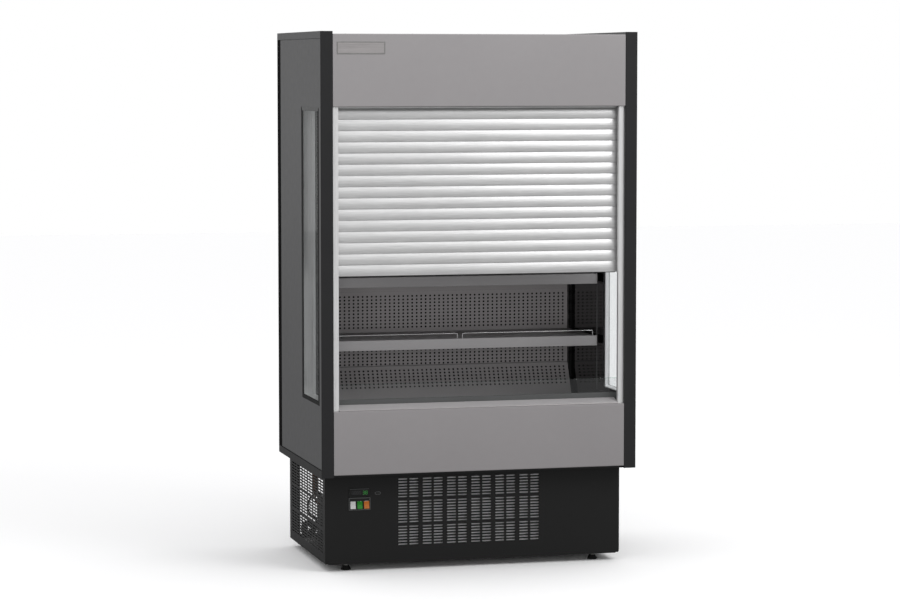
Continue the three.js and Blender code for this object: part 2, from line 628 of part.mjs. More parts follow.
// lines need only their ends and bends a few stations, so the stations are picked
// by hand along each curve and the rings are joined up
function bentWire(path, radius) {
  const sides = 6;
  const stations = [];
  for (const curve of path.curves) {
    const count = curve.isLineCurve3 ? 1 : 2;
    for (let i = 0; i < count; i += 1) {
      stations.push([curve.getPoint(i / count), curve.getTangent(i / count)]);
    }
  }
  const last = path.curves[path.curves.length - 1];
  stations.push([last.getPoint(1), last.getTangent(1)]);
  const normal = new THREE.Vector3(0, 1, 0);
  const positions = [];
  for (const [point, tangent] of stations) {
    const across = new THREE.Vector3().crossVectors(tangent, normal).normalize();
    for (let j = 0; j < sides; j += 1) {
      const angle = (j / sides) * Math.PI * 2;
      const offset = across.clone().multiplyScalar(Math.cos(angle) * radius);
      offset.addScaledVector(normal, Math.sin(angle) * radius);
      positions.push(point.x + offset.x, point.y + offset.y, point.z + offset.z);
    }
  }
  const index = [];
  const rings = stations.length;
  for (let r = 0; r < rings - 1; r += 1) {
    for (let j = 0; j < sides; j += 1) {
      const k = (j + 1) % sides;
      const a = r * sides;
      const b = a + sides;
      index.push(a + j, b + k, a + k, a + j, b + j, b + k);
    }
  }
  for (let j = 1; j < sides - 1; j += 1) {
    index.push(0, j, j + 1);
    index.push((rings - 1) * sides, (rings - 1) * sides + j + 1, (rings - 1) * sides + j);
  }
  const geometry = new THREE.BufferGeometry();
  geometry.setAttribute('position', new THREE.BufferAttribute(new Float32Array(positions), 3));
  geometry.setIndex(index);
  return toSolid(geometry);
}

// cantilever bracket: shallow at the nose, deep at the root, two hooks in the slots
function shelfBracket(index) {
  const top = shelfTop(index) - 3;
  const y0 = SHELF.front + 6;
  const y1 = STANDARD.y0 - GAP;
  const { x0, x1, nose, root, hookDrop, hookThick } = BRACKET;
  const hookZ = top - hookDrop;
  const near = y1 + STANDARD.wall + GAP + 0.4;
  const far = near + hookThick;
  const hook = z => [
    [y1, z - 5], [near, z - 5], [near, z - 9], [far, z - 7], [far, z + 5], [y1, z + 5],
  ];
  const section = outline([
    [y0, top], [y0, top - nose + 8], [y0 + 8, top - nose], [y1 - 120, top - nose - 6], [y1, top - root],
    ...hook(hookZ - STANDARD.pitch), ...hook(hookZ), [y1, top],
  ]);
  return alongX(section, x0, x1);
}

// the tie that carries the shelf edge on its bracket when both are one piece
function bracketTie(index) {
  const top = shelfTop(index) - 3;
  return box(SHELF.halfLength - SHEET, BRACKET.x0 + 0.5, back(SHELF.front + 60),
    back(SHELF.front + 110), top - 18, top - 6);
}

add('deck_pan', deckPan(), 'shelfPaint');
add('lower_back_panel', lowerBackPanel(), 'backPaint');
add('back_duct_panel', backDuctPanel(), 'backPaint');
add('canopy_duct', canopyDuct(), 'backPaint');
add('canopy_lamp', canopyLamp(), 'lamp');
for (const [side, sign] of SIDES) {
  add(`${side}_standard`, mirrored(shelfStandard(), sign), 'blackPaint');
}
const SEPARATE_BRACKETS = 2;
for (let i = 0; i < SHELF.count; i += 1) {
  const separate = i < SEPARATE_BRACKETS;
  const brackets = SIDES.map(([, s]) => mirrored(shelfBracket(i), s));
  const ties = SIDES.map(([, s]) => mirrored(bracketTie(i), s));
  add(`shelf_${i + 1}`, separate ? shelf(i) : join(shelf(i), ...brackets, ...ties), 'shelfPaint');
  if (separate) {
    SIDES.forEach(([side], k) => add(`shelf_${i + 1}_${side}_bracket`, brackets[k], 'blackPaint'));
  }
}

// ------------------------------------------------------------------------ base

// two thin walls that meet in a corner of the base
function cornerPost(x, front, rear, atFront) {
  const { z0, top, post } = BASE;
  const wall = box(x - 3, x, front, rear, z0 + 2, top);
  const y = atFront ? front : rear - 3;
  return join(wall, box(x - post, x, y, y + 3, z0 + 2, top));
}

// floor tray, corner posts and the top ring that the cabinet stands on
function baseFrame() {
  const x = BASE.x - SHEET - GAP;
  const y0 = back(BASE.y0 + SHEET + GAP);
  const y1 = back(BASE.y1);
  const { z0, top, lip, post, ring } = BASE;
  const tray = box(-x, x, y0, y1, z0 + 2, z0 + 4);
  const side = join(
    cornerPost(x, y0, y0 + post, true),
    cornerPost(x, y1 - post, y1, false),
    box(x - ring, x, y0, y1, top - 3, top),
    box(x - 2, x, y0, y1, z0 + 2, z0 + lip),
  );
  const crossings = [y0, y1 - ring].map(y => box(-x, x, y, y + ring, top - 3, top));
  const rearLip = box(-x, x, y1 - 2, y1, z0 + 2, z0 + lip);
  const bore = FOOT.stud + 0.4;
  const hole = turned([[0, 0], [bore, 0], [bore, 10], [0, 10]], 12);
  const holes = FEET.map(([, u, d]) => moved(hole, u, back(d), z0 - 2));
  return cut(join(tray, rearLip, side, mirrored(side, -1), ...crossings), ...holes);
}

// levelling foot: conical pad, neck and threaded stud
function levellingFoot() {
  const r = FOOT.radius;
  const neck = BASE.z0 + 2 - GAP;
  return turned([
    [0, 0], [r, 0], [r, 6], [r - 6, 15], [r - 8, neck],
    [FOOT.stud, neck], [FOOT.stud, neck + 22], [0, neck + 22],
  ], 16);
}

// places of the slots as [start, low, end, high]: rows in groups with plain bands between
function slotPlaces(columns, groups, length, step) {
  const places = [];
  for (const u of columns) {
    for (const group of groups) {
      for (let i = 0; i < group.rows; i += 1) {
        const z = group.z - i * step;
        places.push([u, z - SLOT.height / 2, u + length, z + SLOT.height / 2]);
      }
    }
  }
  return places;
}

function baseFrontPanel() {
  const { x, z0, top, y0 } = BASE;
  const notch = 13.5;
  const step = 11;
  const face = outline([
    [-x + notch, z0], [x - notch, z0], [x - notch, z0 + step], [x, z0 + step], [x, top], [-x, top],
    [-x, z0 + step], [-x + notch, z0 + step],
  ]);
  const columns = [];
  for (let i = 0; i < FRONT_SLOTS.columns; i += 1) {
    columns.push(FRONT_SLOTS.x0 + i * FRONT_SLOTS.pitch);
  }
  const places = slotPlaces(columns, FRONT_ROWS, FRONT_SLOTS.length, SLOT.rowPitch);
  places.push(frameHole(CONTROLLER), frameHole(BEZEL));
  const depth = [back(y0 - 1), back(y0 + SHEET + 1)];
  const holes = blocks(places.map(([u0, v0, u1, v1]) => [u0, u1, ...depth, v0, v1]));
  const sheet = cut(alongY(face, y0, y0 + SHEET), holes);
  const fold = box(-x + notch, x - notch, back(y0), back(y0 + 20), z0, z0 + SHEET);
  const ring = alongY(oval(0), y0 - 2, y0 + 0.5, 10);
  return cut(join(sheet, fold, ring), alongY(oval(GROMMET.rim), y0 - 3, y0 + 3, 10));
}

// the oval escutcheon's outline, made smaller all round by the inset
function oval(inset) {
  const shape = new THREE.Shape();
  const { x, z, width, height } = GROMMET;
  shape.absellipse(x, z, width / 2 - inset, height / 2 - inset, 0, Math.PI * 2, false);
  return shape;
}

// a cut-out just wider than the box behind a frame
function frameHole({ x, z, width, height, wall }) {
  const u = width / 2 - wall + GAP;
  const v = height / 2 - wall + GAP;
  return [x - u, z - v, x + u, z + v];
}

// side cover: a flat louvred sheet
function sideGrille() {
  const { x, y0, y1, top } = BASE;
  const low = 33;
  const face = box(x - SHEET, x, back(y0 + SHEET + GAP), back(y1), low, top);
  const columns = [];
  for (let i = 0; i < SIDE_SLOTS.columns; i += 1) {
    columns.push(SIDE_SLOTS.y0 + i * SIDE_SLOTS.pitch);
  }
  const places = slotPlaces(columns, SIDE_ROWS, SIDE_SLOTS.length, SLOT.rowPitch * 2);
  const holes = places.map(([u0, v0, u1, v1]) => [x - 9, x + 9, back(u0), back(u1), v0, v1]);
  return cut(face, blocks(holes));
}

add('base_frame', baseFrame(), 'blackPaint');
add('base_front_panel', baseFrontPanel(), 'blackPaint');
for (const [side, sign] of SIDES) {
  add(`base_${side}_grille`, mirrored(sideGrille(), sign), 'blackPaint');
}
for (const [name, x, d] of FEET) {
  add(name, moved(levellingFoot(), x, back(d), 0), 'rubber');
}

// -------------------------------------------------------------------- controls

// the block behind a frame's face that fills its cut-out, from depth d0 to d1
function framedBlock({ x, z, width, height, wall }, d0, d1) {
  const u = width / 2 - wall;
  const v = height / 2 - wall;
  return box(x - u, x + u, back(d0), back(d1), z - v, z + v);
}

function framedFace({ x, z, width, height, proud }) {
  const y = BASE.y0;
  return box(x - width / 2, x + width / 2, back(y - proud), back(y - GAP), z - height / 2, z + height / 2);
}

// flat controller with a sunk window for its display and touch keys
function controller() {
  const y = BASE.y0;
  const screen = framedBlock({ ...CONTROLLER, wall: 6 }, y - 5, y - 3.2);
  return cut(join(framedFace(CONTROLLER), framedBlock(CONTROLLER, y - 0.5, y + 10)), screen);
}

const rockerX = i => ROCKER.x + (i - 1) * ROCKER.pitch;

// one frame for three rockers, open at the back for their terminals
function switchBezel() {
  const y = BASE.y0;
  const cup = framedBlock(BEZEL, y - 1, y + 24);
  const wells = [0, 1, 2].map(i => {
    const u = ROCKER.width / 2 + 0.5;
    const v = ROCKER.height / 2 + 1.2;
    const c = rockerX(i);
    return box(c - u, c + u, back(y - 10), back(y + 20), ROCKER.z - v, ROCKER.z + v);
  });
  return cut(join(framedFace(BEZEL), cup), ...wells);
}

// rocker with two faces that meet on the pivot line; at rest its top is pressed in
function rocker() {
  const h = ROCKER.height / 2;
  const y = BASE.y0;
  const edge = y - 3.5;
  const { rise } = ROCKER;
  const profile = outline([
    [edge, -h], [edge + rise * 0.4, -h / 2], [edge + rise * 0.5, 0], [edge + rise * 0.4, h / 2],
    [edge, h], [y + 2, h], [y + 8, h / 3], [y + 8, -h / 3], [y + 2, -h],
  ]);
  const solid = alongX(profile, -ROCKER.width / 2, ROCKER.width / 2);
  const pivot = back(y + 2);
  return solid.translate([0, -pivot, 0]).rotate([-ROCKER.tilt, 0, 0]).translate([0, pivot, 0]);
}

add('controller', controller(), 'blackPlastic');
add('switch_bezel', switchBezel(), 'blackPlastic');
['white', 'green', 'orange'].forEach((color, i) => {
  add(`${color}_rocker`, moved(rocker(), rockerX(i), 0, ROCKER.z), color);
});

// bare plate with a bevelled border
function badgePlate() {
  const { x0, x1, z0, z1 } = BADGE;
  const y = FASCIA_FRONT - GAP;
  const edge = 4;
  const shape = rectangle(x0 + 1, x1 - 1, z0 + 1, z1 - 1);
  const plate = alongY(shape, 0.1, y);
  const pocket = alongY(rectangle(x0 + edge, x1 - edge, z0 + edge, z1 - edge), 0, 0.5);
  return cut(plate, pocket);
}

add('badge_plate', badgePlate(), 'aluminium');

// ------------------------------------------------------------------- machinery

// finned block: upright fins on one spine, open from front to back
function finBlock(x0, x1, y0, y1, z0, z1, fins) {
  const pitch = (x1 - x0) / fins;
  const fin = pitch * 0.3;
  const spine = z0 + 8;
  const points = [[x0, z0]];
  points.push([x1 + fin, z0], [x1 + fin, z1]);
  for (let i = fins; i > 0; i -= 1) {
    const u = x0 + i * pitch;
    points.push([u, z1], [u, spine], [u - pitch + fin, spine], [u - pitch + fin, z1]);
  }
  points.push([x0, z1]);
  return alongY(outline(points), y0, y1);
}

// a box open at the front, with the round fan hole in its rear wall
function fanShroud() {
  const { x0, x1, y1, z0, z1 } = CONDENSER;
  const { x, z, radius } = CONDENSER_FAN;
  const front = back(y1 - 1);
  const rear = back(SHROUD.rear);
  const plate = rectangle(x0, x1, z0, z1);
  const hole = new THREE.Path();
  hole.absarc(x, z, radius + SHROUD.hole, 0, Math.PI * 2, true);
  plate.holes.push(hole);
  return join(
    box(x0, x0 + SHEET, front, rear, z0, z1),
    box(x1 - SHEET, x1, front, rear, z0, z1),
    box(x0, x1, front, rear, z1 - SHEET, z1),
    box(x0, x1, front, rear, z0, z0 + SHEET),
    alongY(plate, SHROUD.rear - 2, SHROUD.rear, 10),
  );
}

// the motor behind a fan hole, held by a cross arm with a stay at each end
function fanMotor({ x, z, motorY, arm }, wall, radius, length) {
  const can = alongY(disc(x, z, radius), motorY, motorY + length, 8);
  const bar = box(x - arm, x + arm, back(motorY + 8), back(motorY + 14), z - 6, z + 6);
  const stays = [x - arm, x + arm - 12].map(u => (
    box(u, u + 12, back(wall - 1), back(motorY + 14), z - 6, z + 6)
  ));
  return join(can, bar, ...stays);
}

// the coil with its shroud: fins, end plates, copper bends, fan ring and motor arms
function condenserCoil() {
  const { x0, x1, y0, y1, z0, z1, fins } = CONDENSER;
  const coil = finBlock(x0, x1, y0, y1, z0, z1, fins);
  const stand = box(x0, x1, back(y0 + 10), back(SHROUD.rear), BASE.z0 + 4 + GAP, z0 + 0.5);
  const motor = fanMotor(CONDENSER_FAN, SHROUD.rear, 34, 46);
  const bends = [0, 1, 2, 3, 4].map(i => {
    const z = z0 + 35 + i * 52;
    return alongZ(returnBend(x0 - 16), z, z + 9, 6);
  });
  return join(coil, stand, fanShroud(), motor, ...bends);
}

function returnBend(x) {
  const shape = new THREE.Shape();
  shape.moveTo(CONDENSER.x0 + 1, 126);
  shape.lineTo(CONDENSER.x0 + 1, 160);
  shape.lineTo(x + 8, 160);
  shape.lineTo(x, 152);
  shape.lineTo(x, 134);
  shape.lineTo(x + 8, 126);
  return shape;
}

function disc(u, v, radius) {
  const shape = new THREE.Shape();
  shape.absarc(u, v, radius, 0, Math.PI * 2, false);
  return shape;
}

// axial fan about Y: hub and swept blades set at a pitch angle
function axialFan({ x, y, z, radius }, blades, hubLength) {
  const hub = 0.3 * radius;
  const angle = 0.5;
  const parts = [alongY(disc(0, 0, hub), (DEPTH - hubLength) / 2, (DEPTH + hubLength) / 2, 8)];
  for (let i = 0; i < blades; i += 1) {
    const shape = new THREE.Shape();
    shape.moveTo(0.7 * hub, -0.16 * radius);
    shape.quadraticCurveTo(0.7 * radius, -0.5 * radius, 0.97 * radius, -0.18 * radius);
    shape.quadraticCurveTo(radius * 1.02, 0, 0.93 * radius, 0.3 * radius);
    shape.quadraticCurveTo(0.6 * radius, 0.05 * radius, 0.7 * hub, 0.2 * radius);
    const blade = new THREE.ExtrudeGeometry(shape, { depth: 2, bevelEnabled: false, curveSegments: 3 });
    blade.translate(0, 0, -1);
    blade.rotateX(Math.PI / 2 - angle * 0.6);
    blade.rotateY((i / blades) * Math.PI * 2);
    parts.push(toSolid(blade));
  }
  return moved(join(...parts), x, back(y), z);
}

// hermetic compressor: welded can on a foot plate, with its terminal cover
function compressor() {
  const { x, y, radius, height } = COMPRESSOR;
  const z0 = BASE.z0 + 4 + GAP;
  const can = turned([
    [0, 14], [radius * 0.7, 14], [radius * 0.93, 26], [radius, 48], [radius, height * 0.46],
    [radius + 4, height * 0.46], [radius + 4, height * 0.5], [radius, height * 0.5], [radius, height - 48],
    [radius * 0.86, height - 18], [radius * 0.5, height - 2], [0, height],
  ], 18);
  const plate = box(-radius - 12, radius + 12, -radius * 0.8, radius * 0.8, 6, 16);
  const grommet = turned([[0, 0], [11, 0], [9, 7], [0, 7]], 8);
  const grommets = [[-1, -1], [1, -1], [-1, 1], [1, 1]].map(([a, b]) => (
    moved(grommet, a * (radius - 2), b * radius * 0.6, 0)
  ));
  const cover = box(radius * 0.6, radius + 26, -32, 32, 70, 138);
  return moved(join(can, plate, cover, ...grommets), x, back(y), z0);
}

// copper line with its filter drier, from the compressor to the coil's end
function refrigerantPipes() {
  const { x, y, z, radius, length } = DRIER;
  const can = turned([
    [0, 0], [5, 0], [radius, 10], [radius, length - 10], [5, length], [0, length],
  ], 12);
  const line = wire([
    [x, back(y), z + 4], [x, back(y), z - 16], [x + 12, back(605), 226], [-430, back(520), 222],
    [-360, back(400), 205], [-332, back(300), 200], [-328, back(200), 214], [-318.6, back(143), 218],
  ], PIPE_RADIUS, 6, 16);
  const rise = wire([
    [x, back(y), z + 82], [x, back(y), z + 92], [x + 20, back(634), 356],
    [-330, back(COMPRESSOR.y + 30), 340], [-214, back(COMPRESSOR.y + 10), 270],
    [-205.4, back(COMPRESSOR.y), 204],
  ], PIPE_RADIUS, 6, 14);
  return join(moved(can, x, back(y), z), line, rise);
}

function electricalBox() {
  const { x0, x1, y0, y1, top, lid } = ELECTRICAL_BOX;
  const body = box(x0, x1, back(y0), back(y1), BASE.z0 + 4 + GAP, top);
  const cover = box(x0 - 4, x1 + 4, back(y0 - 4), back(y1 + 4), top, top + lid);
  return join(body, cover);
}

// the coil under the deck with its feet and the plate that carries its fan
function evaporatorCoil() {
  const { x, y0, y1, z0, z1, fins } = EVAPORATOR;
  const coil = finBlock(-x, x, y0, y1, z0, z1, fins);
  const feet = [-x, x - 30].map(u => box(u, u + 30, back(y0 + 20), back(y1), TUB.floor + GAP, z0 + 1));
  const fan = EVAPORATOR_FAN;
  const plate = rectangle(-x, x, TUB.floor + GAP, z1);
  const hole = new THREE.Path();
  hole.absarc(fan.x, fan.z, fan.radius + 3, 0, Math.PI * 2, true);
  plate.holes.push(hole);
  const wall = alongY(plate, fan.y - 1, fan.y + 1, 10);
  const sides = [-x, x - 2].map(u => box(u, u + 2, back(fan.y), back(y1 - 1), z0, z1));
  const motor = alongY(disc(fan.x, fan.z, 22), fan.y + 18, fan.y + 50, 6);
  const arm = box(fan.x - 90, fan.x + 90, back(fan.y + 24), back(fan.y + 28), fan.z - 5, fan.z + 5);
  const stays = [fan.x - 90, fan.x + 80].map(u => (
    box(u, u + 10, back(fan.y), back(fan.y + 28), fan.z - 5, fan.z + 5)
  ));
  return join(coil, ...feet, wall, ...sides, motor, arm, ...stays);
}

add('condenser_coil', condenserCoil(), 'fins');
add('condenser_fan', axialFan(CONDENSER_FAN, 5, 28), 'blackPlastic');
add('compressor', compressor(), 'compressor');
add('refrigerant_pipes', refrigerantPipes(), 'copper');
add('electrical_box', electricalBox(), 'blackPaint');
add('evaporator_coil', evaporatorCoil(), 'fins');
add('evaporator_fan', axialFan(EVAPORATOR_FAN, 5, 18), 'blackPlastic');

export default fridge;
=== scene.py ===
# %% [markdown]
# # Open multideck display fridge
#
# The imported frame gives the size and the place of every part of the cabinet.
# This lesson puts the finished look on it: folded sheets with real bend radii,
# perforated panels, a curtain of convex slats, sealed glass, and paints and
# metals with their own grain. Lengths are in metres. X runs to the right seen
# from the shopper, Y runs back into the cabinet and Z runs up.
# A piece could also be drawn without the frame, but then it wouldn't follow
# its body when the shutter or a fan moves.

import math

import bmesh
import bpy
import numpy as np
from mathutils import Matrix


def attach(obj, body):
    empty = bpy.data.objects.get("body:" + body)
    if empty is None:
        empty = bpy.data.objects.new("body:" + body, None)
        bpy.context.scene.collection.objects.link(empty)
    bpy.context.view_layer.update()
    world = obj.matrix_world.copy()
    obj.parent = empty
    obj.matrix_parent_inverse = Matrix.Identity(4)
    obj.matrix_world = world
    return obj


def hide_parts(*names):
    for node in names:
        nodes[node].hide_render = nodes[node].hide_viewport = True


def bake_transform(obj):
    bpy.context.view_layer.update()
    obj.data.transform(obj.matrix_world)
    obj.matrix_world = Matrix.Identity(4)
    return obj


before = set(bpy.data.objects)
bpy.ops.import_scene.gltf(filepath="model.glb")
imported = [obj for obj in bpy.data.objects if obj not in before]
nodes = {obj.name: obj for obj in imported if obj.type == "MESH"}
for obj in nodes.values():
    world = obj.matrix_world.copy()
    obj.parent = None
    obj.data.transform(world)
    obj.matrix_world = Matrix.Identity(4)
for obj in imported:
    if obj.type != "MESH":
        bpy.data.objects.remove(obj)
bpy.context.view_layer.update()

# %% [markdown]
# ## Camera
#
# The lens and the place come from a pinhole fit to the cabinet's corners in the
# photograph. The eye stands about eleven metres away, a little to the left and
# at the height of the upper fascia, so the verticals stay almost parallel.
# They could be guessed by eye, but a fit puts the edges within a pixel of
# the photograph.

# %% Camera
EYE = (-2.8315, -10.807, 1.8533)
AIM = (-0.1179, -0.397, 1.0071)
scene = bpy.context.scene


def stand(name, data, place, aim=None):
    """Puts an object into the scene, at place and turned so that its -Z axis looks at aim."""
    item = bpy.data.objects.new(name, data)
    scene.collection.objects.link(item)
    if aim:
        item.location = place
        x, y, z = np.subtract(aim, place)
        item.rotation_euler = (math.atan2(math.hypot(x, y), -z), 0.0, math.atan2(y, x) - math.pi / 2)
    return item


view = bpy.data.cameras.new("view")
view.lens = 117.77
view.sensor_width = 36.0
view.clip_end = 100.0
scene.camera = stand("view", view, EYE, AIM)
scene.view_settings.view_transform = "Standard"
print("camera at", EYE, "lens", view.lens)

# %% [markdown]
# ## Shader nodes as arithmetic
#
# A `Socket` is one output of a node. Adding or multiplying sockets makes the
# Math nodes, so a formula in the text reads like a formula on paper. A `Graph`
# is one material: its `node` method is the only place where nodes are made.
# Nodes could also be made by hand one by one, but a formula is shorter and
# easier to check.

# %% Sockets and graphs
class Socket:
    """One output of a node, with arithmetic."""

    def __init__(self, graph, out):
        self.graph = graph
        self.out = out

    def __add__(self, other):
        return self.graph.math("ADD", self, other)

    def __sub__(self, other):
        return self.graph.math("SUBTRACT", self, other)

    def __rsub__(self, other):
        return self.graph.math("SUBTRACT", other, self)

    def __mul__(self, other):
        return self.graph.math("MULTIPLY", self, other)

    __radd__ = __add__
    __rmul__ = __mul__


class Graph:
    """The node tree of its owner, a material or the world."""

    def __init__(self, owner):
        owner.use_nodes = True
        self.owner = owner
        self.tree = owner.node_tree
        self.tree.nodes.clear()

    def node(self, kind, settings=None, values=None, out=0):
        """Adds a node: its settings first, then each input's value or link."""
        made = self.tree.nodes.new(kind)
        for key, value in (settings or {}).items():
            setattr(made, key, value)
        for key, value in (values or {}).items():
            if isinstance(value, Socket):
                self.tree.links.new(value.out, made.inputs[key])
            else:
                made.inputs[key].default_value = value
        return Socket(self, made.outputs[out]) if made.outputs else None

    def math(self, operation, a, b=0.0):
        """One Math node on two numbers or sockets."""
        return self.node("ShaderNodeMath", {"operation": operation}, {0: a, 1: b})

    def clamp(self, value):
        """The value, kept between 0 and 1."""
        return self.node("ShaderNodeClamp", values={0: value})

    def mix(self, factor, a, b):
        """Colour a where factor is 0, colour b where it is 1."""
        values = {0: factor, 6: a, 7: b}
        return self.node("ShaderNodeMix", {"data_type": "RGBA"}, values, 2)

    def step(self, value, low, high):
        """Rises smoothly from 0 at low to 1 at high."""
        kind = {"interpolation_type": "SMOOTHSTEP"}
        return self.node("ShaderNodeMapRange", kind, {0: value, 1: low, 2: high})

    def place(self):
        """The point on the piece, in metres."""
        return self.node("ShaderNodeTexCoord", out="Object")

    def noise(self, scale, detail=2.0, stretch=(1.0, 1.0, 1.0)):
        """Noise around 0.5, with scale features a metre, drawn out where stretch is small."""
        kind = {"operation": "MULTIPLY"}
        place = self.node("ShaderNodeVectorMath", kind, {0: self.place(), 1: stretch})
        values = {"Vector": place, "Scale": scale, "Detail": detail}
        return self.node("ShaderNodeTexNoise", values=values)

    def bump(self, height, distance, strength=1.0):
        """A normal tilted by the slope of height, whose full rise is distance metres."""
        values = {"Height": height, "Distance": distance, "Strength": strength}
        return self.node("ShaderNodeBump", values=values, out="Normal")

    def output(self, surface):
        """Ends with a shader or with the values of a Principled one, and gives the material."""
        if isinstance(surface, dict):
            surface = self.node("ShaderNodeBsdfPrincipled", values=surface)
        self.node("ShaderNodeOutputMaterial", values={"Surface": surface})
        return self.owner


def material(name):
    """The graph of a new material."""
    return Graph(bpy.data.materials.new(name))


def colour(red, green, blue):
    """A colour as read on a screen, 0 to 255, turned into linear light."""
    share = np.array([red, green, blue]) / 255.0
    linear = np.where(share <= 0.04045, share / 12.92, ((share + 0.055) / 1.055) ** 2.4)
    return (*linear.tolist(), 1.0)


print("grey 128 is", round(colour(128, 128, 128)[0], 3), "in linear light")

# %% [markdown]
# ## Paints
#
# Powder coat is even from afar. Close to, it has the dimpled skin of orange
# peel and a faint unevenness of tone and gloss.
# A flat colour would look like plastic, and an image would need a layout on
# each piece. Noise on the piece's own coordinates needs neither.

# %% Paints
def tinted(graph, base, amount, scale):
    """The base colour, lighter and darker by amount in patches."""
    low = (*[c * (1 - amount) for c in base[:3]], 1.0)
    high = (*[c * (1 + amount) for c in base[:3]], 1.0)
    broad = graph.noise(scale, 3.0)
    fine = graph.noise(scale * 14, 2.0)
    return graph.mix(graph.clamp(broad * 1.4 + fine * 0.6 - 0.5), low, high)


def powder_coat(name, shade, rough=0.42, shine=0.25):
    """A paint of a shade, its dimples a sum of two noises."""
    graph = material(name)
    dimples = graph.noise(620, 1.0) * 0.7 + graph.noise(1700, 0.0) * 0.3
    return graph.output({
        "Base Color": tinted(graph, colour(*shade), 0.035, 2.5),
        "Roughness": graph.noise(40, 3.0) * 0.10 + (rough - 0.05),
        "Normal": graph.bump(dimples, 0.00006, 0.5),
        "Specular IOR Level": shine,
    })


SKIN = powder_coat("skin_paint", (91, 91, 92))
TRIM = powder_coat("trim_paint", (85, 85, 86))
BLACK = powder_coat("black_paint", (26, 26, 26))
FASCIA = powder_coat("fascia_paint", (152, 149, 150), rough=0.36)
# The lower fascia takes a darker copy of the fascia paint: painted shade for the weaker light low on the
# front.
SHADED_FASCIA = powder_coat("shaded_fascia_paint", (140, 137, 138), rough=0.36)
SILL = powder_coat("sill_paint", (163, 160, 161), rough=0.36)
SHELF = powder_coat("shelf_paint", (146, 144, 145), rough=0.38)
BACK = powder_coat("back_paint", (160, 156, 157), rough=0.36)
PAN = powder_coat("pan_paint", (120, 120, 121), rough=0.34)
print("paints made")

# %% [markdown]
# ## Metals
#
# Rolled and extruded aluminium carries long fine lines along the way it was
# drawn: noise that is stretched fiftyfold along one axis. The lines change
# the tone and the gloss a little and stand up by a few hundredths of a
# millimetre.
# The Anisotropic setting could stretch the highlights too, but drawn lines
# also show close to.

# %% Metals
ALONG = {"X": (0.02, 1.0, 1.0), "Z": (1.0, 1.0, 0.02)}


def brushed(name, shade, rough, along, metal=0.85, line=0.10):
    """A drawn metal: lines = 0.6 fine noise + 0.4 coarse noise, both stretched along an axis."""
    graph = material(name)
    base = colour(*shade)[:3]
    lines = graph.noise(900, 3.0, ALONG[along]) * 0.6 + graph.noise(260, 2.0, ALONG[along]) * 0.4
    smudge = graph.clamp(graph.noise(9, 4.0) * 2.2 - 1.0)
    dark = (*[c * (1 - 2 * line) for c in base], 1.0)
    light = (*[min(1.0, c * (1 + line)) for c in base], 1.0)
    return graph.output({
        "Base Color": graph.mix(graph.clamp(lines * 1.6 - 0.3), dark, light),
        "Metallic": graph.clamp(metal - smudge * 0.05),
        "Roughness": lines * 0.16 + smudge * 0.05 + (rough - 0.10),
        "Normal": graph.bump(lines, 0.00004, 0.6),
    })


RAIL = brushed("rail_aluminium", (240, 240, 240), 0.42, "Z", metal=0.7)
SLATS = brushed("slat_aluminium", (228, 228, 228), 0.35, "X", metal=0.84, line=0.13)
PLATE = brushed("plate_aluminium", (186, 182, 182), 0.38, "X", line=0.16)
FINS = brushed("fin_aluminium", (246, 246, 247), 0.50, "Z", metal=0.2)
WIRE = brushed("wire_chrome", (222, 222, 222), 0.24, "X", metal=0.95)
COPPER = brushed("copper_pipe", (178, 126, 98), 0.40, "X", metal=0.7, line=0.18)
STEEL = brushed("plated_steel", (150, 150, 148), 0.40, "Z")
SPACER = brushed("spacer_aluminium", (222, 222, 222), 0.32, "Z", metal=0.88)
print("metals made")

# %% [markdown]
# ## Plastics, rubber and liner
#
# Moulded plastic has the pebbled grain of its mould. Rubber is matt with a dry
# bloom. The liner on the inner side walls is a smooth black sheet that mirrors
# the shelves.
# Plain noise would give soft waves, so the grain is a pattern of cells, each
# one round like a pebble.

# %% Plastics
def moulded(name, shade, rough=0.5, grain=0.00008, coat=0.0, shine=0.3):
    """A plastic or rubber whose pebbles are grain metres deep."""
    graph = material(name)
    pebbles = graph.node("ShaderNodeTexVoronoi", values={"Vector": graph.place(), "Scale": 1400.0})
    haze = graph.noise(30, 4.0)
    return graph.output({
        "Base Color": tinted(graph, colour(*shade), 0.08, 12),
        "Roughness": haze * 0.12 + (rough - 0.06),
        "Coat Weight": graph.clamp(haze * coat + coat * 0.5),
        "Normal": graph.bump(pebbles, grain, 0.5),
        "Specular IOR Level": shine,
    })


PLASTIC = moulded("black_plastic", (24, 24, 24), 0.48)
NOSE = moulded("nose_plastic", (32, 32, 33), 0.44)
RUBBER = moulded("rubber", (24, 24, 24), 0.78, 0.0001)
DEEP_BLACK = moulded("matt_black", (16, 16, 16), 0.9, 0.0001, shine=0.05)
PALE = moulded("pale_plastic", (80, 81, 81), 0.4)
DIFFUSER = moulded("lamp_diffuser", (232, 232, 226), 0.35, 0.00004, 0.2)
WHITE_KEY = moulded("white_key", (196, 196, 195), 0.3, 0.00002, 0.3)
GREEN_KEY = moulded("green_key", (20, 116, 22), 0.26, 0.00002, 0.4)
ORANGE_KEY = moulded("orange_key", (178, 98, 27), 0.26, 0.00002, 0.4)
LACQUER = moulded("black_lacquer", (24, 24, 26), 0.28, 0.00002, 0.3)


graph = material("gloss_liner")
smears = graph.clamp(graph.noise(7, 5.0, (1.0, 1.0, 0.25)) * 1.8 - 0.5)
LINER = graph.output({
    "Base Color": tinted(graph, colour(14, 14, 14), 0.08, 3),
    "Roughness": smears * 0.05 + 0.07,
    "Normal": graph.bump(graph.noise(60, 2.0), 0.00003, 0.4),
    "Specular IOR Level": 0.5,
})
print("plastics made")

